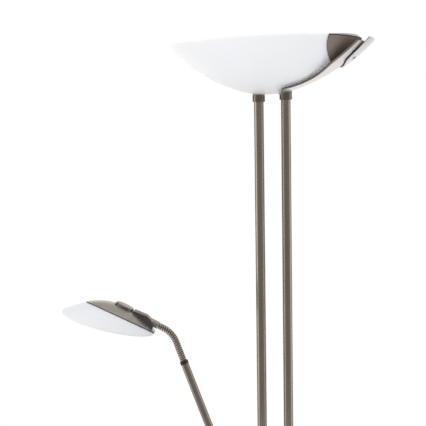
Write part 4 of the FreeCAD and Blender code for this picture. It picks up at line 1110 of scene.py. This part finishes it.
def inner_leaf_columns():
    """Columns from the round left edge up beside the glass and over its rim, cut by the slanting top."""
    off = leaf_gap + leaf_sheet
    cut_r, cut_x, cut_z = 0.0377, 0.1265, -0.0102
    rise, fold, fold_length = 0.004, math.radians(45), 0.008
    top_x, top_z, top_slope = 0.092, 0.003, math.tan(math.radians(4.1))
    dish_steps = (12, 60)
    lowest_x = 0.07
    face = Vector((math.sin(bowl_dish.b), -math.cos(bowl_dish.b)))
    fold_face = Vector((math.cos(fold), math.sin(fold)))
    arc_part = [Vector(p) for p in bowl_dish.section(off, *dish_steps)]
    bend = arc_part[-1] + Vector((math.cos(bowl_dish.b), math.sin(bowl_dish.b))) * rise
    tip = bend + Vector((-math.sin(fold), math.cos(fold))) * fold_length

    def kept(p, a):
        x = p.x * math.cos(a)
        return x > cut_x or math.hypot(x - cut_x, p.y - cut_z) < cut_r

    def under_top(p, a):
        return p.y < top_z + top_slope * (p.x * math.cos(a) - top_x)

    def low_end(a):
        for before, after in zip(arc_part, arc_part[1:] + [bend]):
            if before.x > lowest_x and kept(after, a):
                return before.lerp(after, bisect(0.0, 1.0, lambda t: not kept(before.lerp(after, t), a)))
        return bend

    def column(a):
        low = low_end(a)
        rim = arc_part[-1]
        points, normals = [], []
        for k in range(inner_rows + 1):
            r = low.x + (rim.x - low.x) * k / inner_rows
            z, normal = bowl_dish.surface(r, off)
            points.append(Vector((r, z)))
            normals.append(normal)
        points += [rim.lerp(bend, 0.6), bend]
        normals += [face, (face + fold_face) / (1 + face.dot(fold_face))]
        share = bisect(0.02, 1.0, lambda t: under_top(bend.lerp(tip, t), a))
        for t in (0.33, 0.66, 1.0):
            points.append(bend.lerp(tip, share * t))
            normals.append(fold_face)
        turn = [math.cos(a), math.sin(a)]
        return (
            [Vector((p.x * turn[0], p.x * turn[1], p.y)) for p in points],
            [Vector((n.x * turn[0], n.x * turn[1], n.y)) for n in normals],
        )

    half = bisect(0.1, 1.4, lambda a: kept(arc_part[-1], a))
    even, round_steps, round_end, middle_angle = 14, 39, math.radians(95), 0.05
    least_r, most_r = 0.08, 0.1565
    angles = [half * k / even for k in range(even)]
    for k in range(round_steps + 1):
        z = cut_z - cut_r * math.cos(round_end * k / round_steps)
        x = cut_x - math.sqrt(max(cut_r ** 2 - (z - cut_z) ** 2, 0.0))
        r = bisect(least_r, most_r, lambda r: bowl_dish.surface(r, off)[0] < z)
        if x < r * math.cos(middle_angle):
            angles.append(math.acos(x / r))
    angles = sorted(a for a in angles if a < half) + [half]
    columns = [column(a) for a in [-a for a in angles[:0:-1]] + angles]
    rows = [list(row) for row in zip(*(points for points, normals in columns))]
    normals = [list(row) for row in zip(*(normals for points, normals in columns))]
    return rows, normals


under_r = 0.3005
under_centre = Vector((-0.0426, 0, 0.2117))
under_outline = [
    (0.022, 0.056), (0.042, 0.0535), (0.063, 0.0555), (0.081, 0.0675), (0.099, 0.09), (0.135, 0.106),
]


def smooth_width(x, outline):
    """Half-width of the petal at x, on a smooth curve through its outline."""
    points = [Vector(p) for p in outline]
    x = min(max(x, points[0].x), points[-1].x)
    k = max(n for n in range(len(points) - 1) if points[n].x <= x + 1e-12)
    a, b = points[k], points[k + 1]
    before = points[k - 1] if k else a * 2 - b
    after = points[k + 2] if k + 2 < len(points) else b * 2 - a
    run = b.x - a.x
    t = (x - a.x) / run
    slope_a = (b.y - before.y) / (b.x - before.x) * run
    slope_b = (after.y - a.y) / (after.x - a.x) * run
    return (
        (2 * t ** 3 - 3 * t ** 2 + 1) * a.y + (t ** 3 - 2 * t ** 2 + t) * slope_a
        + (3 * t ** 2 - 2 * t ** 3) * b.y + (t ** 3 - t ** 2) * slope_b
    )


def under_leaf_point(along, across):
    """On the under leaf's sphere, from its root to its top edge, rolled in a little along both sides."""
    share = math.sin(math.pi * (across - 0.5))
    top_z, roll_width, roll_depth = -0.0062, 0.006, 0.0013

    def height(x):
        y = share * smooth_width(x, under_outline)
        return under_centre.z - math.sqrt(under_r ** 2 - (x - under_centre.x) ** 2 - y * y)

    start, beyond = under_outline[0][0], 0.165
    end = bisect(start, beyond, lambda x: height(x) < top_z)
    x = start + (end - start) * along
    width = smooth_width(x, under_outline)
    spot = Vector((x, share * width, height(x)))
    normal = (spot - under_centre).normalized()
    roll = max(0.0, 1 - (1 - abs(share)) * width / roll_width)
    lean = 2 * roll_depth / roll_width * roll * math.copysign(1, share)
    return spot - normal * roll_depth * roll ** 2, (normal + Vector((0, lean, 0))).normalized()


tip_r = 0.28
tip_sheet = 0.0016
tip_low = Vector((0.1244, 0, -0.0428))
tip_high = Vector((0.1802, 0, 0.0036))
tip_cut_low = Vector((0.1252, 0, -0.0355))
tip_cut_high = Vector((0.1651, 0, 0.0062))
tip_way = (tip_high - tip_low).normalized()
tip_out = Vector((tip_way.z, 0, -tip_way.x))
tip_middle = (tip_low + tip_high) / 2
tip_centre = tip_middle - tip_out * math.sqrt(tip_r ** 2 - ((tip_high - tip_low).length / 2) ** 2)


def tip_leaf_point(along, across):
    """On the tip leaf's sphere, between the steep cut, its low edge and its top edge."""
    share = 2 * across - 1
    low_x, top_z, reach = 0.1255, -0.0005, 0.08
    cut = (tip_cut_high - tip_cut_low).normalized()

    def spot(a):
        line = tip_cut_low + cut * ((tip_centre + tip_way * a - tip_cut_low).dot(tip_way) / cut.dot(tip_way))
        level = (line - tip_centre).dot(tip_out)
        y = share * math.sqrt(max(tip_r ** 2 - a * a - level * level, 0.0))
        return tip_centre + tip_way * a + tip_out * math.sqrt(tip_r ** 2 - a * a - y * y) + Vector((0, y, 0))

    first = bisect(reach, -reach, lambda a: spot(a).x > low_x)
    last = bisect(-reach, reach, lambda a: spot(a).z < top_z)
    found = spot(first + (last - first) * along)
    return found, (found - tip_centre).normalized()


rolled_columns = 6
under_columns = 48


def inner_finish(row, column):
    """Painted shade in the crease above the rim, and painted light on the hook over it."""
    return 0 if row < crease_row else 1 if row == crease_row else 2


def under_finish(row, column):
    """Painted shade along the rolled edge at each side."""
    return 2 if min(column, under_columns - 1 - column) < rolled_columns else 0


def bowl_leaf(name, mesh_grid, thickness, finishes, node, finish_at=None):
    """One leaf of the bowl, in its place."""
    shape = moved(sheet_shape(*mesh_grid, thickness, finish_at), bowl_place)
    return new_piece(name, shape, finishes, "nickel_leaf", "stand", node)


# Painted shade: the same nickel as the other leaves, made brown and mostly matt for the inner leaf, which
# lies in shade.
inner_leaf_painted_shade = nickel(
    "antique nickel, inner leaf, painted shade", tone(128, 114, 105), tone(152, 139, 130), (0.42, 0.52), (500, 500, 60),
    strength=0.3, metallic=0.15,
)
# Painted shade along the under leaf's rolled edges.
rolled_edge_painted_shade = nickel(
    "antique nickel, rolled edge, painted shade", tone(120, 106, 97), tone(146, 132, 122), (0.4, 0.5), (260, 900, 260),
    metallic=0.5,
)
bowl_leaf(
    "inner_leaf_sheet", inner_leaf_columns(), leaf_sheet, (inner_leaf_painted_shade, painted_shade_edges, leaf_nickel_painted_light),
    "bowl_inner_leaf", inner_finish,
)
bowl_leaf(
    "under_leaf_sheet", grid(under_columns, 60, under_leaf_point), leaf_sheet,
    (leaf_nickel_painted_light, painted_shade_edges, rolled_edge_painted_shade), "bowl_under_leaf", under_finish,
)
bowl_leaf(
    "tip_leaf_sheet", grid(48, 24, tip_leaf_point), tip_sheet, (leaf_nickel_painted_light, leaf_nickel_painted_light), "bowl_tip_leaf"
)
dress("tip_leaf_screws", leaf_nickel_painted_light, nut_edge)
for small in ("tip_leaf_spacers", "leaf_rivets"):
    dress(small, dark_nickel, nut_edge)

# ---------------------------------------------------------------- collars under the bowl
# Turned rings at the top of each pole, cut to the slope of the glass or of the leaf that they press on,
# with a soft gasket between metal and glass. Zinc-plated studs, sleeves and nuts pull it all together.

dress("left_top_collar", fitting_nickel, turned_edge)
dress("right_top_collar", fitting_nickel, turned_edge)
dress("bowl_gaskets", silicone)
for hidden in ("bowl_studs", "bowl_sleeves", "bowl_nuts"):
    dress(hidden, zinc, small_edge)

# ---------------------------------------------------------------- inside of the bowl
# Zinc-plated carrier plate, bright aluminium trough, two ceramic holders, a linear halogen lamp in quartz,
# and a clear pane that steel clips hold down.

dress("lamp_plate", zinc, small_edge)
dress("reflector", bright_aluminium, small_edge)
dress("lampholders", ceramic, ceramic_edge)
dress("linear_lamp", lamp_quartz)
clear_glass = material(
    "clear pane", tone(246, 250, 249), tone(252, 255, 254), (0.01, 0.04), (12, 12, 12), 0.0001, 0.02,
    Transmission_Weight=1.0, IOR=1.5,
)
pane_edge, clip_edge = 0.0004, 0.0001
dress("lamp_pane", clear_glass, pane_edge)
dress("pane_clips", bright_steel, clip_edge)
